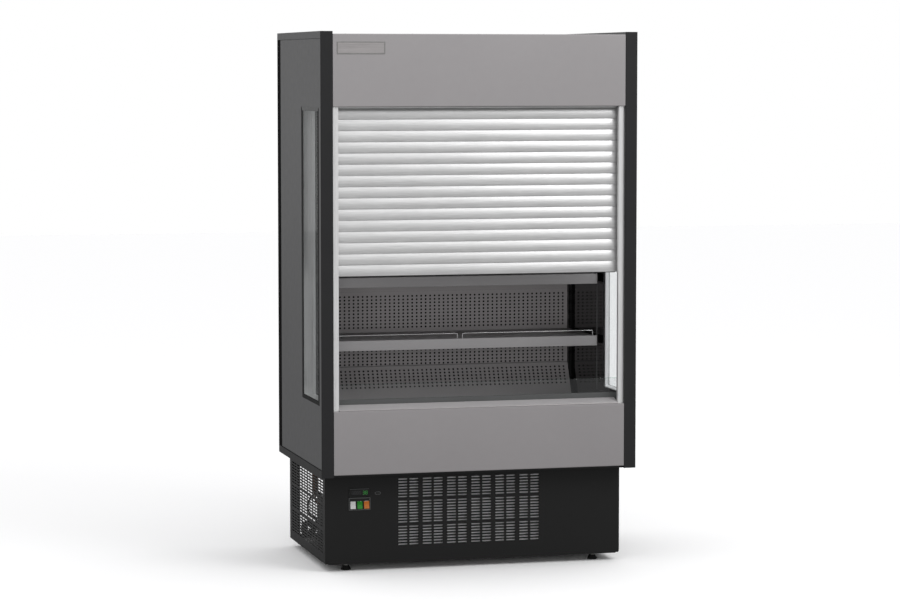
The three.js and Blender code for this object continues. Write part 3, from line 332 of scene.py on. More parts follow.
# %% [markdown]
# ## Glass
#
# A pane this thin doesn't bend what lies behind it. So its faces let light
# straight through with a slight tint, and mirror a part of it that grows
# towards grazing angles. Each kind of pane has its own share of that
# mirroring. The back of a face mirrors nothing.
# Blender's glass shader would be simpler, but it bends the light and throws
# a dark shadow.

# %% Glass
def pane_glass(name, tint, mirror=1.0):
    """A clear tint mixed with a mirror by grazing share * (1 - backfacing) * mirror."""
    graph = material(name)
    wiped = graph.clamp(graph.noise(5, 6.0, (1.0, 1.0, 0.3)) * 1.2 - 0.3)
    clear = graph.node("ShaderNodeBsdfTransparent", values={"Color": tint})
    values = {
        "Base Color": graph.mix(wiped, (0.90, 0.92, 0.92, 1.0), (0.94, 0.95, 0.95, 1.0)),
        "Metallic": 1.0,
        "Roughness": wiped * 0.03 + 0.01,
        "Normal": graph.bump(graph.noise(14, 2.0), 0.00002, 0.3),
    }
    gloss = graph.node("ShaderNodeBsdfPrincipled", values=values)
    outside = 1.0 - graph.node("ShaderNodeNewGeometry", out="Backfacing")
    grazing = graph.node("ShaderNodeFresnel", values={"IOR": 1.45}) * outside * mirror
    return graph.output(graph.node("ShaderNodeMixShader", values={0: grazing, 1: clear, 2: gloss}))


GLASS = pane_glass("clear_glass", (0.965, 0.97, 0.97, 1.0), 0.42)
FRONT_GLASS = pane_glass("low_front_glass", (0.965, 0.97, 0.97, 1.0), 2.2)
GLASS_EDGE = pane_glass("glass_edge", (0.55, 0.74, 0.68, 1.0))
print("glass made")

# %% [markdown]
# The imported frame has a slot for each finish it knows.

# %% [markdown]
# ## Studio
#
# The photograph is a studio picture: white all round, a soft light from above
# that fades towards the horizon, a weaker one from the right, and a soft
# shadow under the unit and to its left. A low broad light from the front
# reaches in under the shutter; it is left out of reflections, so the slats keep
# their gradient. The eye's own rays see plain white.
# A picture of a studio could light it as well, but plain lamps can be set to
# the greys of the photograph one by one.

# %% World
world = bpy.data.worlds.new("studio")
scene.world = world
sky = Graph(world)
height = sky.node("ShaderNodeTexCoord", out="Generated")
upward = sky.node("ShaderNodeSeparateXYZ", values={0: height}, out="Z")
glow = sky.mix(sky.step(upward, 0.0, 1.0), (0.55, 0.55, 0.55, 1.0), (1.20, 1.20, 1.21, 1.0))
seen = sky.node("ShaderNodeLightPath", out="Is Camera Ray")
through = sky.node("ShaderNodeLightPath", out="Is Transmission Ray")
glow = sky.mix(sky.math("MAXIMUM", seen, through), glow, (1.0, 1.0, 1.0, 1.0))
backdrop = sky.node("ShaderNodeBackground", values={"Color": glow, "Strength": 1.0})
sky.node("ShaderNodeOutputWorld", values={"Surface": backdrop})


def softbox(name, place, aim, size, power):
    """A square area light at place that faces aim."""
    light = bpy.data.lights.new(name, "AREA")
    light.shape = "RECTANGLE"
    light.size, light.size_y = size
    light.energy = power
    return stand(name, light, place, aim)


softbox("key", (3.3, -4.6, 4.4), (0.0, 0.0, 0.9), (3.0, 3.0), 108.0)
low_light = softbox("low_front", (-1.2, -6.0, 1.0), (0.0, 0.3, 0.85), (3.5, 1.4), 84.0)
low_light.visible_glossy = False

# %% [markdown]
# ## Floor
#
# The floor is white paper. The eye sees its full white; for all other rays it
# is a mid grey, so that it doesn't light the cabinet from below.
# One white for all rays would be simpler, but it would brighten every
# underside.

# %% Floor
corners = [(-14, -14, 0), (14, -14, 0), (14, 22, 0), (-14, 22, 0)]
ground = bpy.data.meshes.new("floor")
ground.from_pydata(corners, [], [(0, 1, 2, 3)])
graph = material("floor")
paper = graph.node("ShaderNodeBsdfDiffuse", values={"Color": (0.98, 0.98, 0.98, 1.0)})
grey = graph.node("ShaderNodeBsdfDiffuse", values={"Color": (0.27, 0.27, 0.27, 1.0)})
eye = graph.node("ShaderNodeLightPath", out="Is Camera Ray")
paving = graph.output(graph.node("ShaderNodeMixShader", values={0: eye, 1: grey, 2: paper}))
ground.materials.append(paving)
stand("floor", ground, (0, 0, 0))
print("floor laid")

# %% [markdown]
# ## Shapes from arrays
#
# A *part* is a pair: an array of points and a list of face arrays, one row of
# corner numbers per face. Parts are added up with `together` and turned into a
# piece at the end. All but the punched sheets are closed bodies, so that their
# faces can be turned outward.
# The same shapes could be modelled by hand, but in arrays every measure
# stays in sight.

# %% Parts and pieces
def together(*parts):
    """One part from several."""
    points, faces, first = [], [], 0
    for some, groups in parts:
        points.append(some)
        faces += [np.asarray(group) + first for group in groups]
        first += len(some)
    return np.concatenate(points), faces


def mesh_of(name, part):
    """The mesh of a part, its points, corners and faces set as whole arrays."""
    points, groups = part
    corners = np.concatenate([np.ravel(group) for group in groups])
    counts = np.concatenate([np.full(len(g), np.shape(g)[1]) for g in groups])
    mesh = bpy.data.meshes.new(name)
    mesh.vertices.add(len(points))
    mesh.vertices.foreach_set("co", np.ravel(points).astype(np.float32))
    mesh.loops.add(len(corners))
    mesh.loops.foreach_set("vertex_index", corners.astype(np.int32))
    mesh.polygons.add(len(counts))
    starts = np.concatenate([[0], np.cumsum(counts)[:-1]])
    mesh.polygons.foreach_set("loop_start", starts.astype(np.int32))
    mesh.update(calc_edges=True)
    return mesh


def reworked(mesh, work, merge=2e-6):
    """Joins points closer than merge, then lets work() change the mesh."""
    made = bmesh.new()
    made.from_mesh(mesh)
    bmesh.ops.remove_doubles(made, verts=made.verts, dist=merge)
    work(made)
    made.to_mesh(mesh)
    made.free()


def soften(item, width, angle=30.0):
    """Rounds the edges sharper than angle, so that they catch light."""
    ease = item.modifiers.new("ease", "BEVEL")
    ease.width = width
    ease.segments = 2
    ease.limit_method = "ANGLE"
    ease.angle_limit = math.radians(angle)
    ease.use_clamp_overlap = False
    flat = item.modifiers.new("flat", "WEIGHTED_NORMAL")
    flat.weight = 100


def placed(name, mesh, finishes, body, stands_for):
    """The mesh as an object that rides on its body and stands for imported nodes."""
    for finish in finishes:
        mesh.materials.append(finish)
    item = stand(name, mesh, (0, 0, 0))
    if body:
        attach(item, body)
    if stands_for:
        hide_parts(*stands_for)
    return item


def piece(name, part, *finishes, body="cabinet", slot=None, stands_for=(), edge=0.0, sharp=35.0):
    """A visible piece, its faces turned outward and its edges eased by edge metres."""
    mesh = part if isinstance(part, bpy.types.Mesh) else mesh_of(name, part)
    reworked(mesh, lambda made: bmesh.ops.recalc_face_normals(made, faces=made.faces))
    mesh.shade_smooth()
    if not edge:
        mesh.set_sharp_from_angle(angle=math.radians(sharp))
    item = placed(name, mesh, finishes, body, stands_for)
    if edge:
        soften(item, edge)
    return item


def paint_faces(item, number, chosen):
    """Gives material slot number to the faces whose centre and normal chosen() accepts."""
    for face in item.data.polygons:
        if chosen(face.center, face.normal):
            face.material_index = number


def eased(node, *finishes, slot=None, edge=0.0006, cuts=()):
    """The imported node's own shape with rounded edges. Its faces are split at each (axis, value)."""
    mesh = nodes[node].data.copy()
    mesh.materials.clear()

    def join_and_split(made):
        """Drops edges inside flat faces, then splits along each plane axis = value."""
        turn = math.radians(0.5)
        bmesh.ops.dissolve_limit(made, angle_limit=turn, verts=made.verts, edges=made.edges)
        for axis, value in cuts:
            way = np.eye(3)[axis]
            bmesh.ops.bisect_plane(made, geom=[*made.verts, *made.edges, *made.faces], dist=1e-5,
                                   plane_co=way * value, plane_no=way)

    reworked(mesh, join_and_split, merge=1e-5)
    return piece(node + "_finished", mesh, *finishes, slot=slot, stands_for=[node], edge=edge)


print("mesh helpers ready")

# %% [markdown]
# Sheets are drawn as a folded line. `folded` rounds each bend and gives the
# line its thickness; `prism` carries a closed outline along an axis.
# A Bevel modifier could round the bends as well, but a drawn section keeps
# the thickness even round each bend.

# %% Sections
HALF_DEPTH = 0.397


def back(depth):
    """Y of a point that lies depth behind the cabinet's front."""
    return depth - HALF_DEPTH


def section(*points):
    """Points of (depth, height) as (y, z)."""
    return np.array(points) - (HALF_DEPTH, 0.0)


# Where each axis takes its coordinates from: (across, across, along).
ORDER = {"X": (2, 0, 1), "Y": (0, 2, 1), "Z": (0, 1, 2)}


def prism(outline, low, high, axis="X"):
    """A closed outline carried along axis: (y, z) along X, (x, z) along Y, (x, y) along Z."""
    outline = np.asarray(outline, float)
    count = len(outline)
    ends = [np.column_stack([outline, np.full(count, v)]) for v in (low, high)]
    points = np.concatenate(ends)[:, ORDER[axis]]
    here = np.arange(count)
    after = np.roll(here, -1)
    sides = np.column_stack([here, after, after + count, here + count])
    return points, [sides, here[None, ::-1], here[None, :] + count]


def rounded(path, radius, steps=4, closed=False):
    """Replaces each corner of a path by a curve close to an arc of that radius.

    It starts and ends where the circle touches the legs, radius * tan(turn / 2)
    from the corner, and runs as (1 - t)^2 start + 2 t (1 - t) corner + t^2 end.
    """
    path = np.asarray(path, float)
    count = len(path)
    made = []
    for i in range(count):
        if not closed and i in (0, count - 1):
            made.append(path[i])
            continue
        here = path[i]
        legs = [path[i - 1] - here, path[(i + 1) % count] - here]
        sizes = [np.linalg.norm(leg) for leg in legs]
        ways = [leg / size for leg, size in zip(legs, sizes)]
        turn = math.pi - math.acos(np.clip(ways[0] @ ways[1], -1, 1))
        reach = min(radius * math.tan(turn / 2), 0.49 * min(sizes))
        if turn < 1e-3:
            made.append(here)
            continue
        start, end = here + ways[0] * reach, here + ways[1] * reach
        for t in np.linspace(0, 1, steps + 1):
            made.append((1 - t) ** 2 * start + 2 * t * (1 - t) * here + t ** 2 * end)
    return np.array(made)


def folded(path, thick, radius=0.002, steps=4):
    """The outline of a sheet folded along a path that lies in the sheet's middle."""
    line = rounded(path, radius, steps)
    ahead = np.diff(line, axis=0)
    ahead /= np.linalg.norm(ahead, axis=1)[:, None]
    mean = np.vstack([ahead[:1], ahead[:-1] + ahead[1:], ahead[-1:]])
    mean /= np.linalg.norm(mean, axis=1)[:, None]
    square = np.column_stack([-mean[:, 1], mean[:, 0]])
    widen = 1 / np.maximum(0.5, np.einsum("ij,ij->i", mean, np.vstack([ahead, ahead[-1:]])))
    offset = square * widen[:, None] * thick / 2
    return np.vstack([line + offset, (line - offset)[::-1]])


def round_box(u0, u1, v0, v1, radius, steps=5):
    """A rectangle with rounded corners."""
    return rounded([(u0, v0), (u1, v0), (u1, v1), (u0, v1)], radius, steps, closed=True)


def whole_turn(count):
    """Angles spread evenly over one turn."""
    return np.arange(count) / count * 2 * math.pi


def block(x0, x1, y0, y1, z0, z1):
    """A box: a rectangle in (y, z) carried from x0 to x1."""
    return prism([(y0, z0), (y1, z0), (y1, z1), (y0, z1)], x0, x1)


def handed(part, sign):
    """A part drawn for the right side, or its mirror image for the left side."""
    points, groups = part
    return part if sign > 0 else (points * (-1, 1, 1), [group[:, ::-1] for group in groups])


print("a bent corner has", len(rounded([(0, 0), (1, 0), (1, 1)], 0.1)), "points")

# %% [markdown]
# Tubes and wires follow a line in space. Their rings keep a steady twist by
# turning the first ring's frame along with the line.
# A curve with a round bevel would do as well. Rings in an array need no
# change to a mesh, and they close their own ends.

# %% Tubes and turned parts
def tube(path, radius, sides=12):
    """A round bar along a path; the ring's frame is carried from point to point."""
    path = np.asarray(path, float)
    ahead = np.gradient(path, axis=0)
    ahead /= np.linalg.norm(ahead, axis=1)[:, None]
    across = np.cross(ahead[0], (0.3, 0.9, 0.31))
    angle = whole_turn(sides)
    rings = []
    for point, way in zip(path, ahead):
        across = across - way * (across @ way)
        across /= np.linalg.norm(across)
        other = np.cross(way, across)
        ring = np.cos(angle)[:, None] * across + np.sin(angle)[:, None] * other
        rings.append(point + radius * ring)
    return lofted(rings)


def lofted(rings):
    """Skin over rings of equal count, closed at both ends."""
    count, sides = len(rings), len(rings[0])
    ids = np.arange(count * sides).reshape(count, sides)
    after = np.roll(ids, -1, axis=1)
    quads = np.stack([ids[:-1], after[:-1], after[1:], ids[1:]], axis=-1).reshape(-1, 4)
    return np.concatenate(rings), [quads, ids[:1, ::-1], ids[-1:]]


def turned(profile, centre, axis="Z", sides=32):
    """A profile of (radius, height) pairs turned about an axis through centre."""
    angle = whole_turn(sides)
    rings = []
    for radius, height in profile:
        ring = [radius * np.cos(angle), radius * np.sin(angle), np.full(sides, height)]
        rings.append(np.column_stack(ring)[:, ORDER[axis]] + centre)
    return lofted(rings)


def rod(radius, low, high, centre, axis, sides):
    """A plain round bar from low to high along an axis."""
    return turned([(0.0, low), (radius, low), (radius, high), (0.0, high)], centre, axis, sides)


def loop_body(loops):
    """A ring whose section corners are loops of points, in order round the section."""
    count = len(loops[0])
    ids = np.arange(len(loops) * count).reshape(len(loops), count)
    after, below = np.roll(ids, -1, axis=1), np.roll(ids, -1, axis=0)
    quads = np.stack([ids, after, np.roll(after, -1, axis=0), below], axis=-1)
    return np.concatenate(loops), [quads.reshape(-1, 4)]


print("a ring of 12 points, 3 rings:", len(turned([(1, 0), (1, 1), (0.5, 2)], (0, 0, 0), sides=12)[0]))

# %% [markdown]
# A punched sheet is a grid of cells. Each cell has twelve points round its
# edge; a cell with a hole joins them to the twelve points of the hole, a plain
# cell is one face, and an open cell is left out. Neighbours share their edge
# points, so the sheet is one skin.
# A Boolean with hundreds of cutters is slow and leaves ragged faces, so the
# holes are part of the grid from the start.

# %% Punched sheets
TURNS = np.radians(225 + 30 * np.arange(12))


def hole_outline(width, height, turns=TURNS):
    """A slot with round ends, one point at each of turns; round where width = height.

    The end circles have radius r = height / 2 and stand l = (width - height) / 2
    to the left and right: (+-l + r cos a, r sin a).
    """
    r, l = height / 2, (width - height) / 2
    return np.column_stack([r * np.cos(turns) + l * np.sign(np.cos(turns)), r * np.sin(turns)])


def edge_points(u0, u1, v0, v1):
    """Corners and thirds of a cell's edge, from the low left corner, anticlockwise."""
    corners = np.array([(u0, v0), (u1, v0), (u1, v1), (u0, v1)])
    edges = np.roll(corners, -1, axis=0) - corners
    thirds = np.array([0, 1, 2]) / 3
    return (corners[:, None] + edges[:, None] * thirds[:, None]).reshape(-1, 2)


def punched(us, vs, hole_at):
    """A flat sheet in (u, v). hole_at(i, j) is a (width, height), None or "open"."""
    points, rims, plates = [], [], []
    first = 0
    for i in range(len(us) - 1):
        for j in range(len(vs) - 1):
            hole = hole_at(i, j)
            if hole == "open":
                continue
            points.append(edge_points(us[i], us[i + 1], vs[j], vs[j + 1]))
            around = first + np.arange(12)
            first += 12
            if hole is None:
                plates.append(around)
                continue
            middle = ((us[i] + us[i + 1]) / 2, (vs[j] + vs[j + 1]) / 2)
            points.append(hole_outline(*hole) + middle)
            inner = first + np.arange(12)
            first += 12
            rims.append(np.column_stack([around, np.roll(around, -1), np.roll(inner, -1), inner]))
    flat = np.concatenate(points)
    groups = [np.array(plates)] if plates else []
    return flat, groups + ([np.concatenate(rims)] if rims else [])


def sheet_piece(name, part, finish, thick, stands_for=(), out=(0, -1, 0)):
    """A punched skin with its thickness laid behind it, seen from the side of out."""
    mesh = mesh_of(name, part)

    def turn_to_out(made):
        """Turns round each face whose normal points away from out."""
        made.normal_update()
        wrong = [face for face in made.faces if np.dot(face.normal, out) < 0]
        bmesh.ops.reverse_faces(made, faces=wrong)

    reworked(mesh, turn_to_out)
    mesh.shade_flat()
    item = placed(name, mesh, [finish], "cabinet", stands_for)
    shell = item.modifiers.new("thickness", "SOLIDIFY")
    shell.thickness = thick
    shell.offset = -1.0


def bands(low, high, pitch, groups):
    """Row edges between low and high, and the numbers of the rows that are punched.

    groups holds (height of the top row, number of rows), from low to high.
    """
    levels, rows = [low], set()
    for top, number in groups:
        foot = top - (number - 0.5) * pitch
        if foot - levels[-1] > 1e-4:
            levels.append(foot)
        rows |= set(range(len(levels) - 1, len(levels) - 1 + number))
        levels += [foot + pitch * (k + 1) for k in range(number)]
    return [*levels, high], rows


def at_depth(flat, y):
    """Points of (x, z) at a depth y."""
    return np.column_stack([flat[:, 0], np.full(len(flat), y), flat[:, 1]])


print("hole points:", np.round(hole_outline(0.03, 0.005)[:2], 4).tolist())

# %% [markdown]
# ## End walls
#
# Each end wall is a foamed sandwich: painted steel outside, a glossy black
# liner inside. A folded trim covers its outer edges, a plastic strip its nose.
# A fine band along the top of the trim's lowest strip is painted matt black:
# painted shade for the gap between trim and panel.
# The shape of the solid is copied and its edges are eased. A second drawing
# could be finer, but it could drift from the true size.

# %% End walls
SIDES = (("left", -1), ("right", 1))
INNER_X = 0.5543
REAR_STRIP, LOW_STRIP, TOP_STRIP = back(0.737), 0.3932, 1.9620
GROOVE_SHADE = 0.0028

for side, sign in SIDES:
    wall = eased(f"{side}_end_panel", SKIN, LINER, edge=0.0008)
    paint_faces(wall, 1, lambda c, n: abs(c.x) < INNER_X + 0.001 and abs(n.x) > 0.9)
    trim = eased(f"{side}_end_trim", TRIM, BLACK, DEEP_BLACK, edge=0.0007,
                 cuts=[(1, REAR_STRIP), (2, LOW_STRIP), (2, TOP_STRIP),
                       (2, LOW_STRIP - GROOVE_SHADE)])
    paint_faces(trim, 1, lambda c, n: c.z < LOW_STRIP)
    paint_faces(trim, 2, lambda c, n: c.y > REAR_STRIP and LOW_STRIP < c.z < TOP_STRIP)
    # The groove band is painted matt black: painted shade for the gap between the trim and the panel.
    paint_faces(trim, 2, lambda c, n: LOW_STRIP - GROOVE_SHADE < c.z < LOW_STRIP and abs(n.x) > 0.9)
    eased(f"{side}_nose_strip", NOSE, edge=0.0009)
print("end walls finished")

# %% [markdown]
# The end windows are sealed units: two panes on a pale spacer, held in a
# rubber frame whose lip stands proud of the paint. The head of the lip is
# painted paler, a painted highlight for the light of the room on it. Inside,
# a black trim covers the rubber and the rear strip of the window.
# One block of glass would be simpler, but the light edge between two panes
# is what tells a sealed unit from a single one.

# %% End windows
WINDOW = {"y0": back(0.064), "y1": back(0.322), "z0": 0.642, "z1": 1.698}
PANES = ((0.5600, 0.5640, 0.0088), (0.5932, 0.5972, 0.0003))


def frame_ring(x0, x1, outer, inner, round_by):
    """A ring from x0 to x1 between two rounded rectangles (y0, y1, z0, z1)."""
    loops = [round_box(*outer, round_by + 0.004), round_box(*inner, round_by)]
    corners = [(loops[0], x0), (loops[0], x1), (loops[1], x1), (loops[1], x0)]
    return loop_body([np.column_stack([np.full(len(loop), x), loop]) for loop, x in corners])


def window_size(grow):
    """The sight opening, grown all round."""
    return (WINDOW["y0"] - grow, WINDOW["y1"] + grow, WINDOW["z0"] - grow, WINDOW["z1"] + grow)


INNER_SIGHT = (WINDOW["y0"] + 0.001, WINDOW["y1"] - 0.055, WINDOW["z0"] + 0.001, WINDOW["z1"] - 0.001)
for side, sign in SIDES:
    panes = [block(x0, x1, *window_size(bite)) for x0, x1, bite in PANES]
    piece(f"{side}_sealed_panes", handed(together(*panes), sign), GLASS,
          stands_for=[f"{side}_end_glass"], edge=0.0004)
    spacer = frame_ring(0.5652, 0.5974, window_size(0.0082), window_size(0.0006), 0.0008)
    flange = frame_ring(0.5642, 0.5650, window_size(0.0082), INNER_SIGHT, 0.002)
    # The right spacer takes the pale, matt fin finish instead of the spacer metal: a painted highlight
    # for the light that falls into the right window.
    piece(f"{side}_pane_spacer", handed(together(spacer, flange), sign),
          SPACER if sign < 0 else FINS, slot="rubber", edge=0.0003)
    lip_in = frame_ring(0.5558, 0.5598, window_size(0.0198), INNER_SIGHT, 0.004)
    lip_out = frame_ring(0.5976, 0.5988, window_size(0.0198), window_size(0.0), 0.004)
    piece(f"{side}_window_trim", handed(lip_in, sign), LINER, slot="rubber", edge=0.0012)
    rubber = piece(f"{side}_window_rubber", handed(lip_out, sign), RUBBER, PALE,
                   stands_for=[f"{side}_window_gasket"], edge=0.0005)
    # The head of the rubber is painted paler: a painted highlight for the light of the room that falls on
    # it.
    paint_faces(rubber, 1, lambda c, n: c.z > WINDOW["z1"] + 0.0005)
print("end windows: two panes each,", len(rubber.data.vertices), "points in the rubber")

# %% [markdown]
# ## Front sheets
#
# The fascias are folded from one sheet each. A folded edge has a bend radius
# of about the sheet's thickness twice over, which shows as a soft line of
# light along the top of the lower fascia. The lower fascia's paint is a darker
# copy of the upper one's: painted shade for the weaker light low on the
# front. A thin black seal lies under the upper fascia.
# A bevelled box could stand for a fascia. A folded section also has the
# returns at its top and bottom, which show from below.

# %% Fascias and sill
FASCIA_HALF, SILL_HALF = 0.5538, 0.532
SHEET = 0.0015


def fascia(name, finish, z0, z1, top_return, low_return):
    """A folded front sheet from z0 to z1 whose returns reach back by the depths given."""
    face, low, high = 0.0015 + SHEET / 2, z0 + SHEET / 2, z1 - SHEET / 2
    path = section((low_return, low), (face, low), (face, high), (top_return, high))
    part = prism(folded(path, SHEET, 0.0032, 5), -FASCIA_HALF, FASCIA_HALF)
    return piece(f"{name}_sheet", part, finish, stands_for=[name])


fascia("upper_fascia", FASCIA, 1.7144, 1.9784, 0.060, 0.026)
fascia("lower_fascia", SHADED_FASCIA, 0.3719, 0.6068, 0.013, 0.013)

sill_line = section((0.0037, 0.6071), (0.0037, 0.6092), (0.0606, 0.6242), (0.0612, 0.6079))
sill = prism(folded(sill_line, SHEET, 0.0024, 4), -SILL_HALF, SILL_HALF)
piece("sill_cap_sheet", sill, SILL, stands_for=["sill_cap"])
nosing = round_box(back(0.0026), back(0.0052), 0.6072, 0.6103, 0.0011, 3)
piece("sill_nosing", prism(nosing, -SILL_HALF, SILL_HALF), PLATE)
seal = block(-SILL_HALF, SILL_HALF, back(0.0040), back(0.0440), 1.7136, 1.7142)
piece("lintel_seal", seal, RUBBER, edge=0.0002)
print("fascias and sill folded")

# %% [markdown]
# The low front glass stands in a grey channel behind the sill. Its upper
# edge is polished and shows green.
# The rails are extrusions, so each is a section carried upward. A row of
# boxes would do for the face, but not for the groove that holds the slats.

# %% Front glass and guide rails
eased("glass_channel", PALE, edge=0.0006)
pane = eased("front_glass", FRONT_GLASS, GLASS_EDGE, edge=0.0003)
paint_faces(pane, 1, lambda c, n: abs(n.y) < 0.9)

RAIL_END = INNER_X - 0.0003
FOOT, HEAD, GUIDE_TOP = 0.6071, 1.7141, 1.852
plate = [(0.5325, 0.012), (RAIL_END, 0.012), (RAIL_END, 0.0375), (0.5518, 0.0375),
         (0.5518, 0.0140), (0.5345, 0.0140), (0.5345, 0.028), (0.5325, 0.028)]
web = [(0.5460, 0.0375), (RAIL_END, 0.0375), (RAIL_END, 0.0615), (0.5460, 0.0615),
       (0.5460, 0.0587), (0.5520, 0.0587), (0.5520, 0.0393), (0.5460, 0.0393)]


def extrusion(outline, top):
    """A rail of the section (x, depth), from the sill up to top."""
    line = rounded(np.array(outline) - (0.0, HALF_DEPTH), 0.0007, 3, closed=True)
    return prism(line, FOOT, top, "Z")


for side, sign in SIDES:
    front, guide = extrusion(plate, HEAD), extrusion(web, GUIDE_TOP)
    piece(f"{side}_rail_plate", handed(front, sign), RAIL, stands_for=[f"{side}_guide_rail"])
    piece(f"{side}_rail_guide", handed(guide, sign), RAIL)
    felt = round_box(0.5461, 0.5517, back(0.0405), back(0.0423), 0.0005, 3)
    felt = prism(felt, FOOT + 0.002, GUIDE_TOP - 0.002, "Z")
    piece(f"{side}_rail_felt", handed(felt, sign), RUBBER)
print("front glass and rails stand")

# %% [markdown]
# ## Roller shutter
#
# One slat is a roll-formed aluminium section: a convex face with a lip that
# hangs over the slat below, a neck that hooks behind the lip of the slat
# above, and a flat back with a rib. With t from 0 at the lip to 1 at the neck,
# the face lies at
#
#     d(t) = lip + (tuck - lip) t^2 - (lip - crest) sin(pi min(1, 0.9 t + 0.1))
#
# so it bulges in its lower half and leans back towards the top, where it
# catches the light from above.
# An Array modifier could repeat the slat. Here the slats are added up in
# numpy, because the last one ends flat where the next piece begins.

# %% Slat section
PITCH = 0.0408
CREST, LIP, TUCK, REAR = 0.0452, 0.0466, 0.0495, 0.0544
CURTAIN_FOOT = 1.1382
CURTAIN_TOP = 1.7502
SLAT_HALF = 0.549


def convex_face(foot, rise):
    """(depth, height) up a face, from foot over a height of rise."""
    t = np.linspace(0, 1, 13)
    bulge = np.sin(math.pi * np.minimum(1, 0.9 * t + 0.1))
    return np.column_stack([LIP + (TUCK - LIP) * t ** 2 - (LIP - CREST) * bulge, foot + t * rise])


def slat_section():
    """(depth, height) round one slat, its lip at height 0."""
    face = convex_face(0.0002, 0.0394)
    neck = [(TUCK + 0.0003, 0.0408), (0.0508, 0.0419), (0.0520, 0.0419), (0.0528, 0.0408)]
    spine = [(0.0534, 0.0398), (REAR, 0.0390), (REAR, 0.0090), (0.0521, 0.0076), (0.0521, 0.0050)]
    foot = [(REAR, 0.0036), (REAR, 0.0012), (0.0539, 0.0006), (0.0534, 0.0006)]
    hook = [(0.0532, 0.0022), (0.0524, 0.0030), (0.0506, 0.0030), (0.0490, 0.0022), (0.0480, 0.0006)]
    return np.vstack([face, neck, spine, foot, hook])


def slat(z, half=SLAT_HALF):
    """One slat with its lip at z, carried across x."""
    return prism(slat_section() + (-HALF_DEPTH, z), -half, half)


count = round((CURTAIN_TOP - CURTAIN_FOOT) / PITCH)
slats = [slat(CURTAIN_FOOT + i * PITCH) for i in range(count - 1)]
last = slat(CURTAIN_TOP - PITCH)
last[0][:, 2] = np.minimum(last[0][:, 2], CURTAIN_TOP - 0.0001)
piece("shutter_slats", together(*slats, last), SLATS, body="shutter",
      stands_for=["shutter_curtain"], sharp=28)
print("curtain of", count, "slats")

# %% [markdown]
# The bottom bar has the same convex face on a deeper section, and a narrow
# soft seal underneath.
# It could be one more slat with a block behind it, but one outline has no
# seam at the ends.

# %% Bottom bar
BAR = 1.0945
METAL = BAR + 0.0025


def bar_outline():
    """The slat's face on a square section about 10 mm deep."""
    face = convex_face(METAL + 0.0002, 0.0404)
    rear = [(0.0545, METAL + 0.0406), (0.0554, METAL + 0.0370), (0.0554, METAL + 0.0020),
            (0.0536, METAL), (0.0476, METAL)]
    return section(*face, *rear)


piece("lift_bar", prism(bar_outline(), -SLAT_HALF, SLAT_HALF), SLATS, body="shutter",
      stands_for=["shutter_bottom_bar"], sharp=28)
angle = np.radians(np.linspace(180, 360, 11))
seal = np.column_stack([0.0020 * np.cos(angle), 0.0020 * np.sin(angle)]) + (back(0.0515), BAR + 0.0021)
seal = np.vstack([seal, section((0.0535, METAL - 0.0002), (0.0495, METAL - 0.0002))])
piece("lift_bar_seal", prism(seal, -SILL_HALF, SILL_HALF), RUBBER, body="shutter")
print("bottom bar made")

# %% [markdown]
# Above the curtain the slats run up to the roll behind the fascia. When the
# curtain comes down, this run has to reach much further. Its points follow the
# shutter by the share
#
#     w(t) = t^2 (3 - 2 t)
#
# with t from 0 at the roll to 1 at the curtain. So the slats are laid out
# evenly for the closed curtain, and each height is then traced back to where
# it lies at rest.
# Plain even slats would be simpler, but they would tear away from the
# curtain when it comes down.

# %% Upper run
RUN_TOP = 1.858
DROP = 0.4695
table = np.linspace(CURTAIN_TOP, RUN_TOP, 4000)
share = (RUN_TOP - table) / (RUN_TOP - CURTAIN_TOP)
closed = table - DROP * share ** 2 * (3 - 2 * share)

run = []
z = CURTAIN_TOP - DROP
while z < RUN_TOP - 0.003:
    run.append(slat(z, SLAT_HALF - 0.0006))
    z += PITCH
points, faces = together(*run)
points[:, 2] = np.interp(np.clip(points[:, 2], closed[0], closed[-1]), closed, table)
points[:, 2] += 0.0002
upper = piece("shutter_upper_run", (points, faces), SLATS, body=None,
              stands_for=["shutter_upper_slats"], sharp=28)
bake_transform(upper)
print("upper run of", len(run), "slats")

# %% [markdown]
# On the barrel the slats lie as chords of a spiral, each one resting on the
# turn below: the radius grows by one slat's thickness in each turn.
# A cylinder would be simpler, but its ends wouldn't show the turns.

# %% Roll
ROLL_Y, ROLL_Z = back(0.140), 1.860
PER_TURN = 8
THICK = 0.0086


def wound_slat(number, turns=2):
    """One slat on the spiral r = r0 + thickness * turn, as a bowed plate."""
    turn = number / PER_TURN
    outer = 0.0555 - THICK * (turns - turn)
    steps = 6
    t = np.linspace(0.02, 0.98, steps + 1)
    angle = 2 * math.pi * (turn + t / PER_TURN)
    radius = outer + 0.0014 * np.sin(math.pi * t)
    shell = np.column_stack([radius * np.cos(angle), radius * np.sin(angle)])
    inner = shell * ((radius - 0.0072) / radius)[:, None]
    ring = np.vstack([shell, inner[::-1]]) + (ROLL_Y, ROLL_Z)
    return prism(ring, -0.543, 0.543)


spiral = together(*[wound_slat(i) for i in range(2 * PER_TURN)])
piece("rolled_slats", spiral, SLATS, body="shutter_roll",
      stands_for=["shutter_roll"], sharp=28)
barrel = turned([(0.0, -0.5536), (0.0115, -0.5536), (0.0118, -0.5530), (0.0118, -0.5440),
                 (0.0330, -0.5440), (0.0330, 0.5440), (0.0118, 0.5440), (0.0118, 0.5530),
                 (0.0115, 0.5536), (0.0, 0.5536)], (0, ROLL_Y, ROLL_Z), "X", 40)
piece("roll_barrel", barrel, STEEL, body="shutter_roll")
print("roll of", 2 * PER_TURN, "slats")
